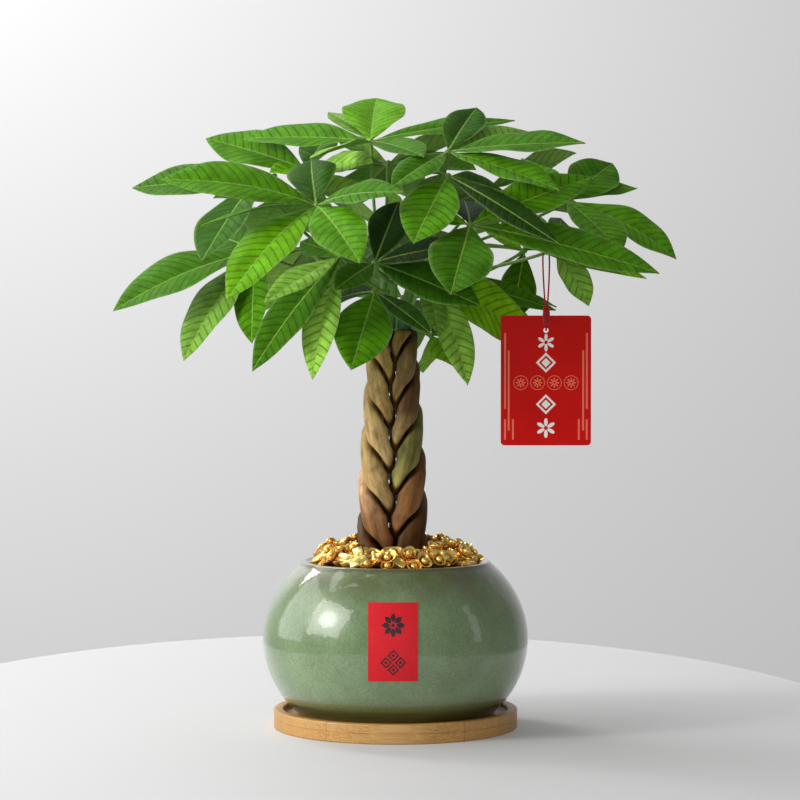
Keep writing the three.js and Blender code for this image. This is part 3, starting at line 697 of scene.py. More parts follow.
# %% Label and its print
LABEL = {"width": 31, "height": 48.5, "x": -1.5, "middle": 64.5, "glue": 0.06, "paper": 0.35, "ink": 0.06}
PRINT = {"x": LABEL["x"] + 0.2, "rosette": 75.2, "lozenges": 52.2, "apart": 4.5}


def lay_on_pot(bm, lift):
    """Lays flat figures (x, depth, z) on the front of the pot. Their depth becomes height over the glaze."""
    for vert in bm.verts:
        x, depth, z = vert.co
        radius = pot_radius(z) + lift - depth
        turn = math.asin(x / radius)
        vert.co = (radius * math.sin(turn), -radius * math.cos(turn), z)


bm = bmesh.new()
bmesh.ops.create_grid(
    bm, x_segments=20, y_segments=32, size=0.5, matrix=Matrix.Rotation(math.pi / 2, 4, "X")
)
bmesh.ops.scale(bm, vec=(LABEL["width"], 1, LABEL["height"]), verts=bm.verts)
bmesh.ops.translate(bm, vec=(LABEL["x"], 0, LABEL["middle"]), verts=bm.verts)
thicken(bm, LABEL["paper"])
lay_on_pot(bm, LABEL["glue"])
add_piece("red_label", bm, "red_label", [label_paper], "pot_label", smooth_below=40)

bm = bmesh.new()
rosette(bm, PRINT["x"], PRINT["rosette"], 7.4, 8, 3.3)
for dx, dz in ((0, 1), (0, -1), (1, 0), (-1, 0)):
    lozenge(bm, PRINT["x"] + dx * PRINT["apart"], PRINT["lozenges"] + dz * PRINT["apart"], 3.7, 1.3)
thicken(bm, LABEL["ink"])
bmesh.ops.subdivide_edges(bm, edges=[e for e in bm.edges if e.calc_length() > 2.5], cuts=2)
lay_on_pot(bm, LABEL["glue"] + LABEL["paper"])
add_piece("label_print", bm, "red_label", [black_ink], smooth_below=40)

# %% [markdown]
# ## Soil
#
# Potting mix fills the pot under the ingots, and shows as a dark ring round the foot of the trunk. Its
# solid already has the mound and the holes for the stems, so it keeps its shape and only gets a surface
# of crumbs and bark.

# %% Potting mix
# Moist soil is dark and has no gloss. Its crumbs are one to two millimetres across.
potting_mix = start_material("moist potting mix", roughness=0.95, specular_ior_level=0.2)
place = add_node(potting_mix, "TexCoord").outputs["Object"]
crumbs = add_node(potting_mix, "TexVoronoi", {"Vector": place, "Scale": 1 / (2.2 * MM)})
grit = add_node(potting_mix, "TexNoise", {"Vector": place, "Scale": 1 / (1.1 * MM), "Detail": 5})
tint = add_node(potting_mix, "ValToRGB", [grit], [(0.35, "#1d130c"), (0.75, "#4a3522")])
lumps = add_node(potting_mix, "Bump", {"Height": crumbs, "Strength": 1, "Distance": 1.5 * MM})
feed(potting_mix, base_color=tint, normal=lumps)
paint_solid("soil", potting_mix)

# %% [markdown]
# ## Gold ingots
#
# The dressing is about 150 plated plastic ingots. Each is a little boat with turned-up ends and a
# dome in its middle: a disc that is extruded ring by ring, wider for the hull and narrower for the well
# and the dome. Every ring has its own tone: painted shade makes a hollow dark brown, and a painted
# highlight makes a rim bright. One piece in five is a plain bar, painted bright on top and dark below.
# They are strewn by a rule, so the heap is the same at every run: each new one takes a place that is free
# enough in its layer, and leans outward the more the nearer it is to the rim of the pot.

# %% Gold plating
# Plated plastic is mirror bright with a faint orange peel, and a little plastic shows through the film.
gold = start_material("bright gold plating", metallic=0.7)
place = add_node(gold, "TexCoord").outputs["Object"]
tone = add_node(gold, "Attribute", attribute_name="gold_shade_and_highlight").outputs["Fac"]
# The tone runs from painted shade in the hollows to a painted highlight on the rims and the dome.
tint = add_node(gold, "ValToRGB", [tone], [(0, "#451a02"), (0.45, "#fcb036"), (1, "#ffe68e")])
rubs = add_node(gold, "TexNoise", {"Vector": place, "Scale": 1 / (4 * MM), "Detail": 2})
polish = add_node(gold, "MapRange", {"Value": rubs, "To Min": 0.14, "To Max": 0.28})
orange_peel = add_node(gold, "Bump", {"Height": rubs, "Strength": 0.1, "Distance": 0.4 * MM})
feed(gold, base_color=tint, roughness=polish, normal=orange_peel)

# %% One ingot and one bar
HULL = [
    # half length, half breadth, height, lift of the ends, tone of painted shade and highlight
    (3.6, 2.4, 0, 0, 0.1), (5.0, 3.4, 1.5, 0.3, 0.35), (6.2, 4.4, 3.1, 1.4, 0.75), (6.1, 4.3, 3.5, 1.5, 1),
    (5.3, 3.6, 3.2, 1.1, 0.8), (3.7, 3.0, 2.3, 0.3, 0.1), (2.6, 2.4, 2.3, 0, 0.05), (2.4, 2.2, 3.5, 0, 0.6),
    (1.5, 1.4, 4.6, 0, 1), (0.5, 0.5, 5.0, 0, 1),
]


def ingot(bm, tones):
    """A boat-shaped ingot on the origin, extruded ring by ring from its flat bottom."""
    half_length, half_breadth, *_, tone = HULL[0]
    made = bmesh.ops.create_circle(bm, cap_ends=True, segments=16, radius=1)["verts"]
    bmesh.ops.scale(bm, vec=(half_length, half_breadth, 1), verts=made)
    for vert in made:
        vert[tones] = tone
    face = made[0].link_faces[0]
    for (a, b, *_), (next_a, next_b, high, lift, tone) in zip(HULL, HULL[1:]):
        face = bmesh.ops.extrude_discrete_faces(bm, faces=[face])["faces"][0]
        for vert in face.verts:
            x = vert.co.x * next_a / a
            vert.co = (x, vert.co.y * next_b / b, high + lift * (x / next_a) ** 2)
            vert[tones] = tone


def gold_bar(bm, tones):
    """A plain bar, narrower at its top."""
    for vert in bmesh.ops.create_cube(bm, size=1)["verts"]:
        top = vert.co.z > 0
        vert.co = (vert.co.x * (11.5 if top else 13), vert.co.y * (6.2 if top else 7.4), 2.6 if top else 0)
    bmesh.ops.bevel(
        bm, geom=bm.edges[:], offset=0.3, segments=1, profile=0.5, affect="EDGES", material=-1
    )
    # Painted highlight on the top, and painted shade below it.
    for vert in bm.verts:
        vert[tones] = 0.95 if vert.co.z > 1 else 0.4


def as_mesh(name, draw):
    bm = bmesh.new()
    draw(bm, bm.verts.layers.float.new("gold_shade_and_highlight"))
    bmesh.ops.remove_doubles(bm, verts=bm.verts, dist=1e-4)
    mesh = bpy.data.meshes.new(name)
    bm.to_mesh(mesh)
    bm.free()
    return mesh


ingot_mesh = as_mesh("one_ingot", ingot)
bar_mesh = as_mesh("one_bar", gold_bar)
print("faces of one ingot:", len(ingot_mesh.polygons))

# %% Heap of ingots
HEAP = {"inner": 29.5, "outer": 51.5, "outer_top": 109.2, "inner_top": 116, "lean": 3.6}
TRIES, BAR_SHARE = 6000, 0.22
LAYERS = [
    # height over the bed, how many, least distance between two, tilt at the rim and by chance in degrees
    (-2.4, 80, 7.6, 25, 25), (0.9, 60, 9.4, 50, 10), (3.2, 20, 12, 44, 12),
]


def bed_top(radius, bearing):
    """The heap is level along the wall, and higher behind the trunk than before it."""
    share = (radius - HEAP["inner"]) / (HEAP["outer"] - HEAP["inner"])
    inner_top = HEAP["inner_top"] + HEAP["lean"] * math.sin(bearing)
    return inner_top + (HEAP["outer_top"] - inner_top) * share


strewn = random.Random(8)
bm = bmesh.new()
bm.verts.layers.float.new("gold_shade_and_highlight")
heaped = 0
for layer, (lift, wanted, apart, at_rim, by_chance) in enumerate(LAYERS):
    places = []
    for attempt in range(TRIES):
        radius = math.sqrt(strewn.uniform(HEAP["inner"] ** 2, (HEAP["outer"] - 1.2 * layer) ** 2))
        bearing = strewn.uniform(0, 2 * math.pi)
        spot = Vector((radius * math.cos(bearing), radius * math.sin(bearing)))
        if len(places) < wanted and all((spot - other).length > apart for other in places):
            places.append(spot)
            share = (radius - HEAP["inner"]) / (HEAP["outer"] - HEAP["inner"])
            height = bed_top(radius, bearing) + lift + strewn.uniform(-0.5, 0.5)
            outward = math.radians(at_rim * (0.35 + 0.65 * share) + strewn.uniform(-by_chance, by_chance))
            sideways = math.radians(strewn.uniform(-by_chance, by_chance))
            sit = (
                Matrix.Translation((*spot, height)) @ Matrix.Rotation(bearing, 4, "Z")
                @ Matrix.Rotation(outward, 4, "Y") @ Matrix.Rotation(sideways, 4, "X")
                @ Matrix.Rotation(strewn.uniform(0, 2 * math.pi), 4, "Z")
            )
            before = len(bm.verts)
            bm.from_mesh(bar_mesh if strewn.random() < BAR_SHARE else ingot_mesh)
            bm.verts.ensure_lookup_table()
            bmesh.ops.transform(bm, matrix=sit, verts=bm.verts[before:])
            heaped += 1
add_piece("ingot_heap", bm, "gold_plating", [gold], "gold_ingots", smooth_below=50)
print("ingots and bars:", heaped)

# %% [markdown]
# ## Braided stems
#
# Five young stems were plaited while they were soft and then grew thick, so that each one is pressed
# flat where it passes another. Every stem goes round a figure of eight as it climbs. At each level its
# section is a circle that gives way smoothly to its neighbours. A tube skin follows these sections, and
# each point also keeps its colour, with painted shade where it presses on a neighbour, and a coordinate
# along the stem for the streaks in the bark.

# %% Braid
BRAID = {"stems": 5, "pitch": 141, "start": 259.4, "x": -1.9, "ground": 110, "top": 258, "foot": 98}
WEAVE = {"front": 0.75, "even": 2.2, "late": 0.16, "soften": 3}
BRAID_SHAPE = [
    # height, half the width of the braid, half its depth, radius of a stem
    (110, 12.6, 12.5, 11), (165, 12.2, 11.6, 10), (215, 10.5, 10.1, 8.4), (258, 8.4, 8.5, 7.6),
]
# Each stem's colours, from the ground up: partly its own, as no two stems are alike, and partly painted
# light and shade, lighter on the parts of the braid that face the light and darker on those turned away.
BARK_TONES_AND_LIGHT = [
    [(110, "#573718"), (128, "#55391f"), (148, "#b99a62"), (195, "#b99a62"), (213, "#ab8e58"),
     (256, "#4a3520")],
    [(105, "#573718"), (148, "#5a3a1b"), (171, "#bf9f68"), (223, "#c8aa70"), (256, "#97763c")],
    [(110, "#573718"), (130, "#a8784c"), (150, "#8f6238"), (178, "#5c3c20"), (200, "#b8985a"),
     (252, "#c2a266")],
    [(110, "#573718"), (139, "#573a1c"), (158, "#b0a25e"), (176, "#7d7a40"), (209, "#6d6a38"),
     (228, "#c3a35f"), (256, "#b9975a")],
    [(112, "#6d4826"), (132, "#94683f"), (152, "#c49a6e"), (167, "#cfa57c"), (186, "#bd9d68"),
     (206, "#62482a"), (256, "#62482a")],
]
CONTACT_GAP = 0.45


def row_at(rows, z):
    """A row of values at a height, between the two nearest rows."""
    z = min(max(z, rows[0][0]), rows[-1][0])
    for low, high in zip(rows, rows[1:]):
        if z <= high[0]:
            share = (z - low[0]) / (high[0] - low[0])
            return [a + (b - a) * share for a, b in zip(low[1:], high[1:])]


def braid_phase(k, z):
    """The angle that a stem has gone round its figure of eight. It lingers in front of the braid."""
    half_turns = 2 * (k / BRAID["stems"] + (BRAID["start"] - z) / BRAID["pitch"])
    whole = math.floor(half_turns)
    part = half_turns - whole
    front = WEAVE["front"]
    part = part / front / 2 if part < front else 1 - (1 - part) / (1 - front) / 2
    return math.pi * (whole + part)


@functools.lru_cache(maxsize=None)
def stem_centre(k, z):
    held = min(max(z, BRAID["ground"]), BRAID["top"])
    phase = sum(braid_phase(k, held + step) for step in (-WEAVE["soften"], 0, WEAVE["soften"])) / 3
    across, deep, _ = row_at(BRAID_SHAPE, held)
    depth = math.tanh(WEAVE["even"] * math.sin(2 * phase - WEAVE["late"])) / math.tanh(WEAVE["even"])
    return BRAID["x"] + across * math.cos(phase), -deep * depth


def stem_reach(k, z, angle):
    """How far stem k reaches at an angle: its radius, giving way softly to each neighbour."""
    radius = row_at(BRAID_SHAPE, z)[2]
    x, y = stem_centre(k, z)
    pressed = radius ** -6
    for j in range(BRAID["stems"]):
        if j != k:
            other_x, other_y = stem_centre(j, z)
            dx, dy = other_x - x, other_y - y
            apart = math.hypot(dx, dy)
            facing = (dx * math.cos(angle) + dy * math.sin(angle)) / apart
            if facing > 0.05:
                pressed += ((apart - CONTACT_GAP) / 2 / facing) ** -6
    return pressed ** (-1 / 6), radius


half_way = (BRAID["ground"] + BRAID["top"]) / 2
print("half way up, stem 1 stands at x, y:", [round(at, 1) for at in stem_centre(0, half_way)], "mm")

# %% Bark
# Young bark is thin and smooth with fine lengthwise streaks. They are narrower than a pixel on the real
# stem, so they are drawn about twice as wide as they are.
bark = start_material("young smooth bark", specular_ior_level=0.12)
tone = add_node(bark, "Attribute", attribute_name="bark_tone_and_shade")
grain = add_node(bark, "Attribute", attribute_name="bark_grain").outputs["Vector"]
streaks = add_node(bark, "TexNoise", {"Vector": grain, "Scale": 1.4, "Detail": 5, "Roughness": 0.65})
streak_share = add_node(bark, "MapRange", [streaks, 0.36, 0.7, 0.5, 1.3])
streaked = add_node(bark, "Mix", [1, tone, streak_share], data_type="RGBA", blend_type="MULTIPLY")
place = add_node(bark, "TexCoord").outputs["Object"]
blotches = add_node(bark, "TexNoise", {"Vector": place, "Scale": 1 / (9 * MM), "Detail": 3, "Roughness": 0.6})
blotch_share = add_node(bark, "MapRange", [blotches, 0.5, 0.72, 0, 0.45])
aged = add_node(bark, "Mix", [blotch_share, streaked, "#4f3620"], data_type="RGBA")
sheen = add_node(bark, "MapRange", {"Value": streaks, "To Min": 0.62, "To Max": 0.4})
ridges = add_node(bark, "Bump", {"Height": streaks, "Strength": 0.45, "Distance": 0.35 * MM})
feed(bark, base_color=aged, roughness=sheen, normal=ridges)

# %% Stems
STEM = {"sides": 40, "step": 1.3, "settle": 1.8, "end": 2.4, "knob_depth": 0.55, "knob_scale": 0.16}
SETTLE = (-STEM["settle"], 0, STEM["settle"])
levels = round((BRAID["top"] - BRAID["foot"]) / STEM["step"])
for k in range(BRAID["stems"]):
    bm = bmesh.new()
    tone_layer = bm.verts.layers.float_color.new("bark_tone_and_shade")
    grain_layer = bm.verts.layers.float_vector.new("bark_grain")
    tones = [(z, *linear(colour)[:3]) for z, colour in BARK_TONES_AND_LIGHT[k]]

    def shape_stem(vert, turn, share):
        z = BRAID["foot"] + share * (BRAID["top"] - BRAID["foot"])
        angle = 2 * math.pi * turn
        held = max(z, BRAID["ground"])
        reach, radius = min(stem_reach(k, round(held + settle, 3), angle) for settle in SETTLE)
        end = max(0, (z - BRAID["top"] + STEM["end"]) / STEM["end"])
        rounding = math.sqrt(1 - 0.8 * end * end)
        x, y = stem_centre(k, held)
        on_skin = Vector((x + radius * math.cos(angle), y + radius * math.sin(angle), z * 0.5))
        knobs = noise.noise(on_skin * STEM["knob_scale"])
        out = (reach + STEM["knob_depth"] * min(0, knobs)) * rounding
        vert.co = (x + out * math.cos(angle), y + out * math.sin(angle), z)
        # Painted shade: darker and warmer where the skin presses on a neighbour; darker too over the rounded
        # end.
        pressed = max(0, 1 - reach / radius)
        shade = max(0.12, 1.08 - 1.15 * min(0.65, pressed * 2.6) - 0.35 * end)
        vert[tone_layer] = [c * shade ** power for c, power in zip(row_at(tones, z), (1, 1.2, 1.4))] + [1]
        vert[grain_layer] = (1.6 * math.cos(angle) + 7 * k, 1.6 * math.sin(angle), z / 30)

    tube_skin(bm, STEM["sides"], levels, shape_stem)
    add_piece(f"braided_stem_{k + 1}", bm, "bark", [bark], f"stem_{k + 1}", smooth_below=70)

# %% [markdown]
# ## Green shoots
#
# Each stem ends in soft green growth that carries the leaf stalks. A shoot is a tapering tube with
# slight swellings at even steps along it, darker and bluer at its foot, and a rounded bud at its tip.

# %% Green shoot skin
# Soft green growth has a satin skin with fine lengthwise lines, under a millimetre apart.
shoot_skin = start_material("green shoot skin", roughness=0.5, specular_ior_level=0.4)
tone = add_node(shoot_skin, "Attribute", attribute_name="shoot_tone")
place = add_node(shoot_skin, "TexCoord").outputs["Object"]
line_size = (1 / (0.8 * MM), 1 / (0.8 * MM), 1 / (9 * MM))
stretched = add_node(shoot_skin, "Mapping", {"Vector": place, "Scale": line_size})
lines = add_node(shoot_skin, "TexNoise", {"Vector": stretched, "Scale": 1, "Detail": 4})
line_share = add_node(shoot_skin, "MapRange", [lines, 0.3, 0.7, 0.72, 1.25])
lined = add_node(shoot_skin, "Mix", [1, tone, line_share], data_type="RGBA", blend_type="MULTIPLY")
furrows = add_node(shoot_skin, "Bump", {"Height": lines, "Strength": 0.3, "Distance": 0.2 * MM})
feed(shoot_skin, base_color=lined, normal=furrows)

# %% Shoots
SHOOT = {"foot": 3.7, "head": 3, "bud": 0.96, "gap": 0.3, "swellings": 5, "swelling": 0.12}
SHOOTS = [
    # how far from its stem's own line it stands, where it leans to, how high it is
    ((0, 0.6), (13, 10), 52), ((1.2, 0.3), (13, -6), 44), ((0, 0), (-3, 13), 58),
    ((-2.4, 0.6), (-14, 3), 42), ((0.3, -0.6), (3, -9), 34),
]
SHOOT_COLOURS = (0, "#2f6b58"), (0.16, "#5f8f4a"), (1, "#6f9a3c")
SHOOT_TONES = [(share, *linear(colour)[:3]) for share, colour in SHOOT_COLOURS]


def even_steps(fine, steps):
    """Points at equal distances along a finely drawn route."""
    reached = [0.0]
    for a, b in zip(fine, fine[1:]):
        reached.append(reached[-1] + (b - a).length)
    route, i = [], 0
    for step in range(steps + 1):
        goal = reached[-1] * step / steps
        while i + 2 < len(reached) and reached[i + 1] < goal:
            i += 1
        share = (goal - reached[i]) / (reached[i + 1] - reached[i])
        route.append(fine[i].lerp(fine[i + 1], share))
    return route


def shoot_route(k, steps=40):
    """The middle of shoot k, at equal steps along its length."""
    aside, lean, height = SHOOTS[k]
    a = Vector((*stem_centre(k, BRAID["top"]), BRAID["top"] + SHOOT["gap"])) + Vector((*aside, 0))
    b = a + Vector((lean[0] * 0.2, lean[1] * 0.2, height * 0.6))
    c = a + Vector((*lean, height))
    fine = [a * (1 - t) ** 2 + b * (2 * t * (1 - t)) + c * t * t for t in (i / 400 for i in range(401))]
    return even_steps(fine, steps)


def shoot_radius(share):
    return SHOOT["foot"] + (SHOOT["head"] - SHOOT["foot"]) * share


for k in range(BRAID["stems"]):
    bm = bmesh.new()
    tone_layer = bm.verts.layers.float_color.new("shoot_tone")

    def paint_shoot(vert, share):
        vert[tone_layer] = row_at(SHOOT_TONES, share) + [1]

    def skin_radius(turn, share):
        tip = max(0, (share - 0.93) / 0.07)
        swelling = SHOOT["swelling"] * math.sin(2 * math.pi * SHOOT["swellings"] * share) ** 2
        return (shoot_radius(share) + swelling) * math.sqrt(1 - 0.9 * tip * tip)

    pipe(bm, shoot_route(k), 20, skin_radius, paint_shoot)
    add_piece(f"green_shoot_{k + 1}", bm, "green_shoot", [shoot_skin], f"shoot_{k + 1}", smooth_below=60)

# %% [markdown]
# ## Palmate leaves
#
# A leaf is a stalk, a small swelling where the stalk ends, and three to six leaflets that spread from
# there like fingers. A leaflet is grown as a thin closed skin along its midrib. Both halves rise a little
# from the rib, the blade swells up between its side veins, and the margin waves. Each point also stores
# where it lies on the blade, so that the rib, the side veins and the fine net can be drawn by the
# material at any size.

# %% Leaf blade
# A leaf is satin, and darker and glossier above than below. All its patterns follow the blade: leaf_spot
# is a place on it in millimetres, and leaf_marks holds the distance from the rib in rib widths, the count
# of side veins passed, and which side it is. The mottle is about 9 mm across, and the net of the finest
# veins has cells of a good millimetre.
blade_skin = start_material("living leaf blade", specular_ior_level=0.05)
tone = add_node(blade_skin, "Attribute", attribute_name="leaf_tone_and_light")
spot = add_node(blade_skin, "Attribute", attribute_name="leaf_spot").outputs["Vector"]
marks = add_node(blade_skin, "Attribute", attribute_name="leaf_marks").outputs["Vector"]
marks = add_node(blade_skin, "SeparateXYZ", [marks]).outputs
margin = add_node(blade_skin, "Attribute", attribute_name="leaf_margin").outputs["Fac"]
mottle = add_node(blade_skin, "TexNoise", {"Vector": spot, "Scale": 0.11, "Detail": 4, "Roughness": 0.6})
mottle_share = add_node(blade_skin, "MapRange", [mottle, 0.3, 0.7, 0.72, 1.28])
to_vein = add_node(blade_skin, "Math", [marks["Y"], 0.5], operation="PINGPONG")
# Beside each side vein the blade is darker, a painted shade in the furrow, and lighter between the veins, a
# painted light on the swell.
fades = [to_vein, 0.03, 0.2, 0.74, 1.1], [to_vein, 0.015, 0.07, 1, 0], [marks["X"], 0.35, 0.95, 1, 0]
furrow_shade_share, vein, rib = [
    add_node(blade_skin, "MapRange", fade, interpolation_type="SMOOTHSTEP") for fade in fades
]
shares = add_node(blade_skin, "Math", [mottle_share, furrow_shade_share], operation="MULTIPLY")
mottled_and_shaded = add_node(blade_skin, "Mix", [1, tone, shares], data_type="RGBA", blend_type="MULTIPLY")

# %% Colours over the blade
vein_colour = add_node(blade_skin, "Mix", [0.22, tone, "#b8d048"], data_type="RGBA")
vein_share = add_node(blade_skin, "Math", [vein, 0.4], operation="MULTIPLY")
rib_share = add_node(blade_skin, "Math", [rib, 0.62], operation="MULTIPLY")
# A thin pale edge round each leaflet is a painted highlight, as light caught on the margin.
rim_highlight_share = add_node(blade_skin, "MapRange", [margin, 0.94, 1, 0, 0.4])
under_share = add_node(blade_skin, "Math", [marks["Z"], 0.45], operation="MULTIPLY")
blade_colour = mottled_and_shaded
for share, colour in (
    (vein_share, vein_colour), (rib_share, "#a4c45c"), (rim_highlight_share, "#9cc04c"), (under_share, "#86a566"),
):
    blade_colour = add_node(blade_skin, "Mix", [share, blade_colour, colour], data_type="RGBA")
gloss = add_node(blade_skin, "MapRange", {"Value": marks["Z"], "To Min": 0.42, "To Max": 0.62})
net_cells = add_node(blade_skin, "TexVoronoi", {"Vector": spot, "Scale": 0.75}, feature="DISTANCE_TO_EDGE")
net_rise = add_node(blade_skin, "MapRange", [net_cells, 0, 0.25, 0, 0.35])
furrow = add_node(blade_skin, "Math", [net_rise, vein], operation="SUBTRACT")
relief = add_node(blade_skin, "Bump", {"Height": furrow, "Strength": 1, "Distance": 0.55 * MM})
feed(blade_skin, base_color=blade_colour, roughness=gloss, normal=relief)
print("nodes of the leaf blade:", len(blade_skin.node_tree.nodes))

# %% The leaves
# Tones, partly the leaf's own green and partly painted light and shade, since each leaflet's tone also
# stands for how brightly it is lit: k nearly black, d dark, m middle, l light, b bright, p pale, w whitish,
# a painted sheen, and q bright, a painted glow of light from behind.
LEAF_TONES_AND_LIGHT = {
    "k": "#1b3b08", "d": "#2e5c09", "m": "#40740a", "l": "#518d0c", "b": "#68a90e", "p": "#72a238",
    "w": "#92c64a", "q": "#84c216",
}
# Every leaf: its shoot and how far up it starts, the hub where its leaflets meet, the way its upper face
# looks, a letter for each leaflet's tone and painted light, and the leaflets. A leaflet is its tip, then its
# breadth, its roll in degrees and its sideways bend, where these aren't the usual ones.
LEAVES = [
    ("top", 3, 1, (-16, 0, 379), (0, -0.55, 1), "blwmpm", [
        (-13, 76, 412, 42), (-99, 22, 382, 36), (-53, -62, 365, 24, 28), (18, -62, 366, 28),
        (-45, 66, 402, 18), (78, 25, 394, 22),
    ]),
    ("upper_right", 2, 1, (33, -40, 370), (0.1, -0.5, 1), "dmlmp", [
        (53, 20, 402, 27), (119, -55, 375, 34), (101, -88, 344, 32), (-2, -92, 346, 24), (90, 22, 386),
    ]),
    ("front_centre", 5, 0.95, (33, -62, 354), (0, -1, 1), "lkmm", [
        (11, -118, 311, 36), (99, -112, 311, 20), (72, -20, 344), (3, -10, 366),
    ]),
    ("left_near", 5, 1, (-49, -75, 335), (-0.2, -0.75, 1), "dllblm", [
        (-54, -15, 366, 32), (-144, -85, 351, 40), (-118, -110, 322, 16, 28), (-101, -132, 277, 38),
        (-21, -135, 299, 34), (5, -112, 342, 24),
    ]),
    ("left_mid", 4, 1, (-89, -25, 352), (-0.5, -0.6, 1), "mdmm", [
        (-170, 0, 349, 38), (-120, -72, 301, 40), (-132, 30, 352), (-84, 35, 350),
    ]),
    ("left_high", 3, 0.9, (-58, 10, 361), (-0.2, -0.7, 1), "lbwm", [
        (-125, 40, 383, 38), (-81, -4, 359, 20), (-14, -30, 364, 28), (-44, 70, 388),
    ]),
    ("left_low", 4, 0.7, (-88, -30, 308), (-0.6, -0.8, 1), "mplm", [
        (-177, -55, 270, 45, 0, -0.05), (-132, -68, 239, 36, 0, -0.03), (-89, -76, 250, 25), (-129, 40, 322),
    ]),
    ("front_low_left", 5, 0.7, (-34, -55, 304), (-0.4, -1, 0.8), "mwwl", [
        (-88, -90, 233, 30, 0, -0.02), (-51, -92, 228, 24, 0, -0.02), (-80, -103, 275, 22), (-61, -15, 314),
    ]),
    ("front_mid", 5, 0.9, (-13, -60, 300), (0.2, -1, 0.9), "dkkm", [
        (52, -100, 273, 34), (37, -95, 310, 24), (2, -5, 340), (-37, -100, 283, 20),
    ]),
    ("trunk_front", 5, 0.4, (-13, -45, 282), (0.1, -1, 0.7), "ldk", [
        (-27, -98, 234, 37), (22, -90, 256, 15), (-42, 0, 276),
    ]),
    ("low_right", 2, 0.3, (18, -35, 294), (0.5, -1, 0.8), "wqpm", [
        (45, -75, 224, 26, 0, 0.03), (90, -22, 249, 42), (27, -85, 254, 18), (104, 4, 270, 18),
    ]),
    ("small_low", 2, 0.12, (23, -7, 254), (0.6, -0.8, 0.8), "qqm", [
        (18, 31, 229, 16, 80), (40, -28, 233, 32), (38, 44, 258),
    ]),
    ("right_near", 2, 0.92, (46, -85, 323), (0.2, -0.8, 1), "mmqklb", [
        (33, -150, 280, 40), (161, -105, 293, 36), (155, -84, 290, 26), (44, -20, 340),
        (124, -45, 354, 34), (15, -72, 329, 18),
    ]),
    ("right_far", 1, 0.95, (111, 10, 341), (0.4, -0.7, 1), "llmll", [
        (180, -15, 303, 37, 0, 0.07), (142, -45, 307, 36), (145, 68, 368, 34), (161, 60, 351, 17, 0, 0.05),
        (84, 60, 371),
    ]),
    ("card_stalk", 1, 0.6, (100, -50, 309), (0.5, -0.7, 0.8), "wmm", [
        (121, -60, 273, 27), (135, -10, 318, 18), (108, 20, 330, 18),
    ]),
    ("right_low", 1, 0.4, (84, 20, 309), (0.5, -0.6, 0.9), "mmmmq", [
        (74, 5, 262, 26), (126, 66, 320, 22), (46, 74, 312, 24), (92, 84, 330, 22), (58, 24, 323, 20),
    ]),
    ("back_left_high", 3, 1, (-62, 62, 350), (-0.4, 0.6, 1), "mbqq", [
        (-124, 98, 346), (-104, 130, 318), (-55, 135, 322), (-20, 66, 350, 26),
    ]),
    ("back_centre_high", 3, 0.95, (-5, 62, 368), (0, 0.5, 1), "mlbwww", [
        (-50, 122, 366), (-33, 112, 340, 34), (8, 140, 348, 36), (55, 115, 366), (44, 66, 386, 28),
        (-40, 66, 384, 24),
    ]),
    ("back_right_high", 1, 1, (60, 66, 350), (0.4, 0.6, 1), "lllkwl", [
        (132, 108, 334), (105, 138, 308), (55, 142, 322), (25, 112, 336), (122, 88, 376, 34),
        (14, 84, 354, 22),
    ]),
    ("back_left_mid", 4, 0.5, (-60, 52, 312), (-0.5, 0.8, 1), "mqmm", [
        (-108, 95, 296), (-92, 124, 268), (-52, 125, 270), (-20, 98, 278),
    ]),
    ("back_centre_mid", 3, 0.6, (0, 62, 322), (0, 0.8, 1), "wkmmq", [
        (-44, 104, 344, 30), (-32, 126, 294, 36), (14, 136, 284, 38), (50, 116, 300, 34),
        (-6, 80, 348, 26),
    ]),
    ("back_right_low", 1, 0.2, (70, 62, 284), (0.4, -0.2, 1), "mmm", [
        (108, 70, 272, 17), (94, 84, 255, 20), (62, 118, 262, 22),
    ]),
    ("back_low", 3, 0.25, (5, 48, 278), (0, 0.9, 0.8), "mmmm", [
        (-26, 92, 246), (10, 104, 238), (45, 86, 250), (-23, 66, 297, 26),
    ]),
]
print("leaflets:", sum(len(leaf[-1]) for leaf in LEAVES))

# %% Leaf stalks
STALK = {"radius": 1.25, "waist": 0.2, "clear": 0.9, "leave": 12, "arrive": 14, "share": 0.3}
STALK_SWELLINGS = [
    # where along the stalk, how much thicker, how long as a share of the stalk
    (0, 0.35, 0.06), (1, 0.5, 0.05),
]


def stalk_route(hub, faces, shoot, at, steps=26):
    """From the shoot's skin out level, and then up to the hub from behind the leaf."""
    on_shoot = shoot_route(shoot - 1, 400)[round(400 * at * SHOOT["bud"])]
    out = hub - on_shoot
    level = Vector((out.x, out.y, 0)).normalized()
    root = on_shoot + level * (shoot_radius(at) + STALK["clear"])
    arrival = (out.normalized() + faces.normalized()).normalized()
    room = out.length * STALK["share"]
    turns = (root + level * min(STALK["leave"], room), hub - arrival * min(STALK["arrive"], room))
    return even_steps(geometry.interpolate_bezier(root, *turns, hub, 300), steps)


def stalk_radius(turn, share):
    """A leaf stalk is thickest at both ends."""
    more = [thicker * math.exp(-(((share - at) / reach) ** 2)) for at, thicker, reach in STALK_SWELLINGS]
    return STALK["radius"] - STALK["waist"] + sum(more)


print("a stalk is", round(2 * stalk_radius(0, 0.5), 2), "mm thick half way")

# %% Leaflets
BLADE = {"around": 32, "along": 56, "fold": 0.16, "arch": 0.02, "thickness": 0.5, "aspect": 0.38, "root": 1.1}
VEINS = {"apart": 6.3, "slant": 0.62, "curve": 0.008, "pucker": 0.42, "shift": 0.3}
RIB = {"narrow": 0.35, "widening": 0.65, "above": 0.2, "below": -0.55, "reach": 1.2}


def outline(t):
    """The half breadth of a leaflet as a share of its greatest: it starts narrow and ends in a point."""
    return math.sin(math.pi * t ** 1.15) ** 0.9


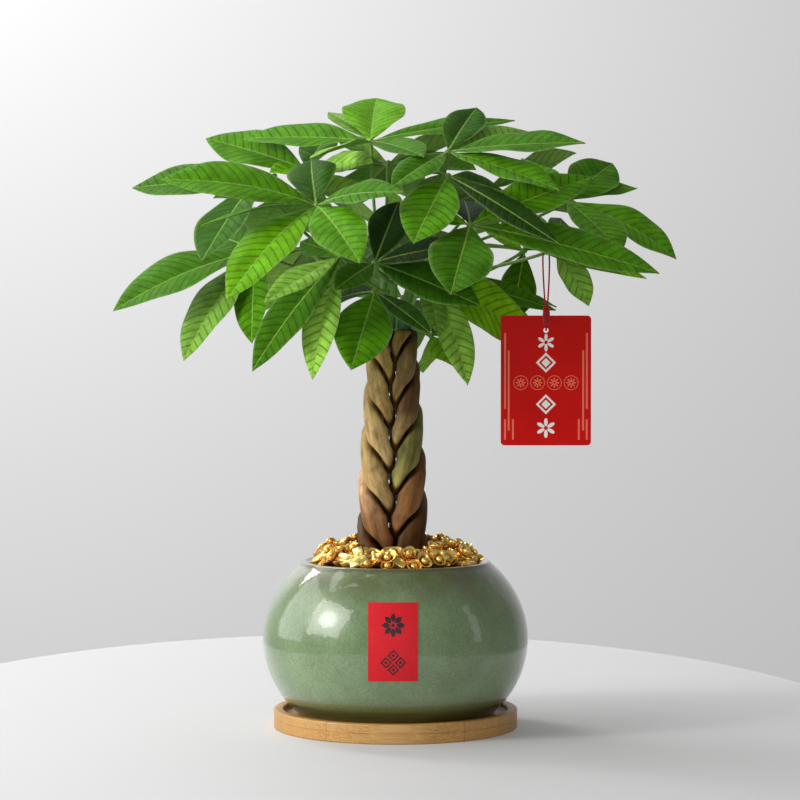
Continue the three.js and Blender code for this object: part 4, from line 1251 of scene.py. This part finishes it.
def draw_leaflet(bm, layers, hub, faces, tip, arch, tone, seed):
    x, y, z, breadth, roll, bend = (*tip, *(None, 0, 0)[len(tip) - 3:])
    chord = Vector((x, y, z)) - hub
    length = chord.length
    along = chord.normalized()
    lift = (faces - along * faces.dot(along)).normalized()
    up = Matrix.Rotation(math.radians(roll), 3, along) @ lift
    side = up.cross(along)
    widest = (breadth or length * BLADE["aspect"]) / 2
    root = hub + along * BLADE["root"]
    chance = random.Random(seed)
    waves = chance.uniform(1.6, 2.6)
    wave_start = chance.uniform(0, 6.3)
    wave_height = chance.uniform(0.03, 0.07)
    shade = chance.uniform(0.86, 1.12)

    def shape(vert, turn, t):
        above = 1 if turn < 0.5 else -1
        across = 1 - 4 * turn if turn < 0.5 else 4 * turn - 3
        reach = abs(across) ** 1.25
        way = 1 if across > 0 else -1
        half = max(0.8 - 0.68 * t, widest * outline(t))
        off = reach * half
        run = t * (length - BLADE["root"])
        rib_half = RIB["narrow"] + RIB["widening"] * (1 - t)
        vein_run = run - VEINS["slant"] * off - VEINS["curve"] * off * off
        phase = vein_run / VEINS["apart"] + VEINS["shift"] * way
        swell = abs(math.sin(math.pi * phase)) ** 0.8 - 0.55
        swell *= VEINS["pucker"] * min(1, 3 * reach) * (1 - reach ** 3) * min(1, widest / 12)
        fold = half * (BLADE["fold"] * reach + 0.06 * math.sin(math.pi * reach))
        wave = wave_height * half * reach ** 2.5 * math.sin(2 * math.pi * waves * t + wave_start + way * 0.9)
        body = above * BLADE["thickness"] / 2 * (1 - 0.6 * reach) * (abs(across) < 0.999)
        nerve = RIB["above" if above > 0 else "below"] * (1 - 0.5 * t) * max(0, 1 - off / RIB["reach"])
        middle = root + along * run + lift * (arch * length * math.sin(math.pi * t ** 0.85))
        middle += side * (bend * length * math.sin(math.pi * t))
        vert.co = middle + side * (way * off) + up * (fold + swell + wave + body + nerve)
        vert[layers["tone"]] = [c * shade for c in tone] + [1]
        vert[layers["spot"]] = (way * off, run, seed * 40)
        vert[layers["marks"]] = (off / rib_half, phase, above < 0)
        vert[layers["margin"]] = reach

    tube_skin(bm, BLADE["around"], BLADE["along"], shape)


widest_at = max(range(101), key=lambda percent: outline(percent / 100))
print("a leaflet is widest at", widest_at, "% of its length")

# %% Grow the leaves
ARCHES = {"left_near": 0.06}
HUB_RADIUS = 2.2
for number, (name, shoot, at, hub, faces, letters, leaflets) in enumerate(LEAVES):
    bm = bmesh.new()
    layers = {
        "tone": bm.verts.layers.float_color.new("leaf_tone_and_light"),
        "spot": bm.verts.layers.float_vector.new("leaf_spot"),
        "marks": bm.verts.layers.float_vector.new("leaf_marks"),
        "margin": bm.verts.layers.float.new("leaf_margin"),
    }
    stalk_layer = bm.verts.layers.float_color.new("shoot_tone")
    hub, faces = Vector(hub), Vector(faces)
    for i, (tip, letter) in enumerate(zip(leaflets, letters, strict=True)):
        draw_leaflet(
            bm, layers, hub, faces, tip, ARCHES.get(name, BLADE["arch"]), linear(LEAF_TONES_AND_LIGHT[letter])[:3],
            seed=number * 10 + i,
        )
    blade_faces = len(bm.faces)

    def paint_stalk(vert, share):
        vert[stalk_layer] = row_at(SHOOT_TONES, 0.5 + share / 2) + [1]

    pipe(bm, stalk_route(hub, faces, shoot, at), 12, stalk_radius, paint_stalk)
    at_hub = Matrix.Translation(hub)
    knob = bmesh.ops.create_icosphere(bm, subdivisions=2, radius=HUB_RADIUS, matrix=at_hub)["verts"]
    for vert in knob:
        paint_stalk(vert, 1)
    bm.faces.ensure_lookup_table()
    for face in bm.faces[blade_faces:]:
        face.material_index = 1
    add_piece(f"foliage_{name}", bm, "leaf", [blade_skin, shoot_skin], f"leaf_{name}", smooth_below=60)
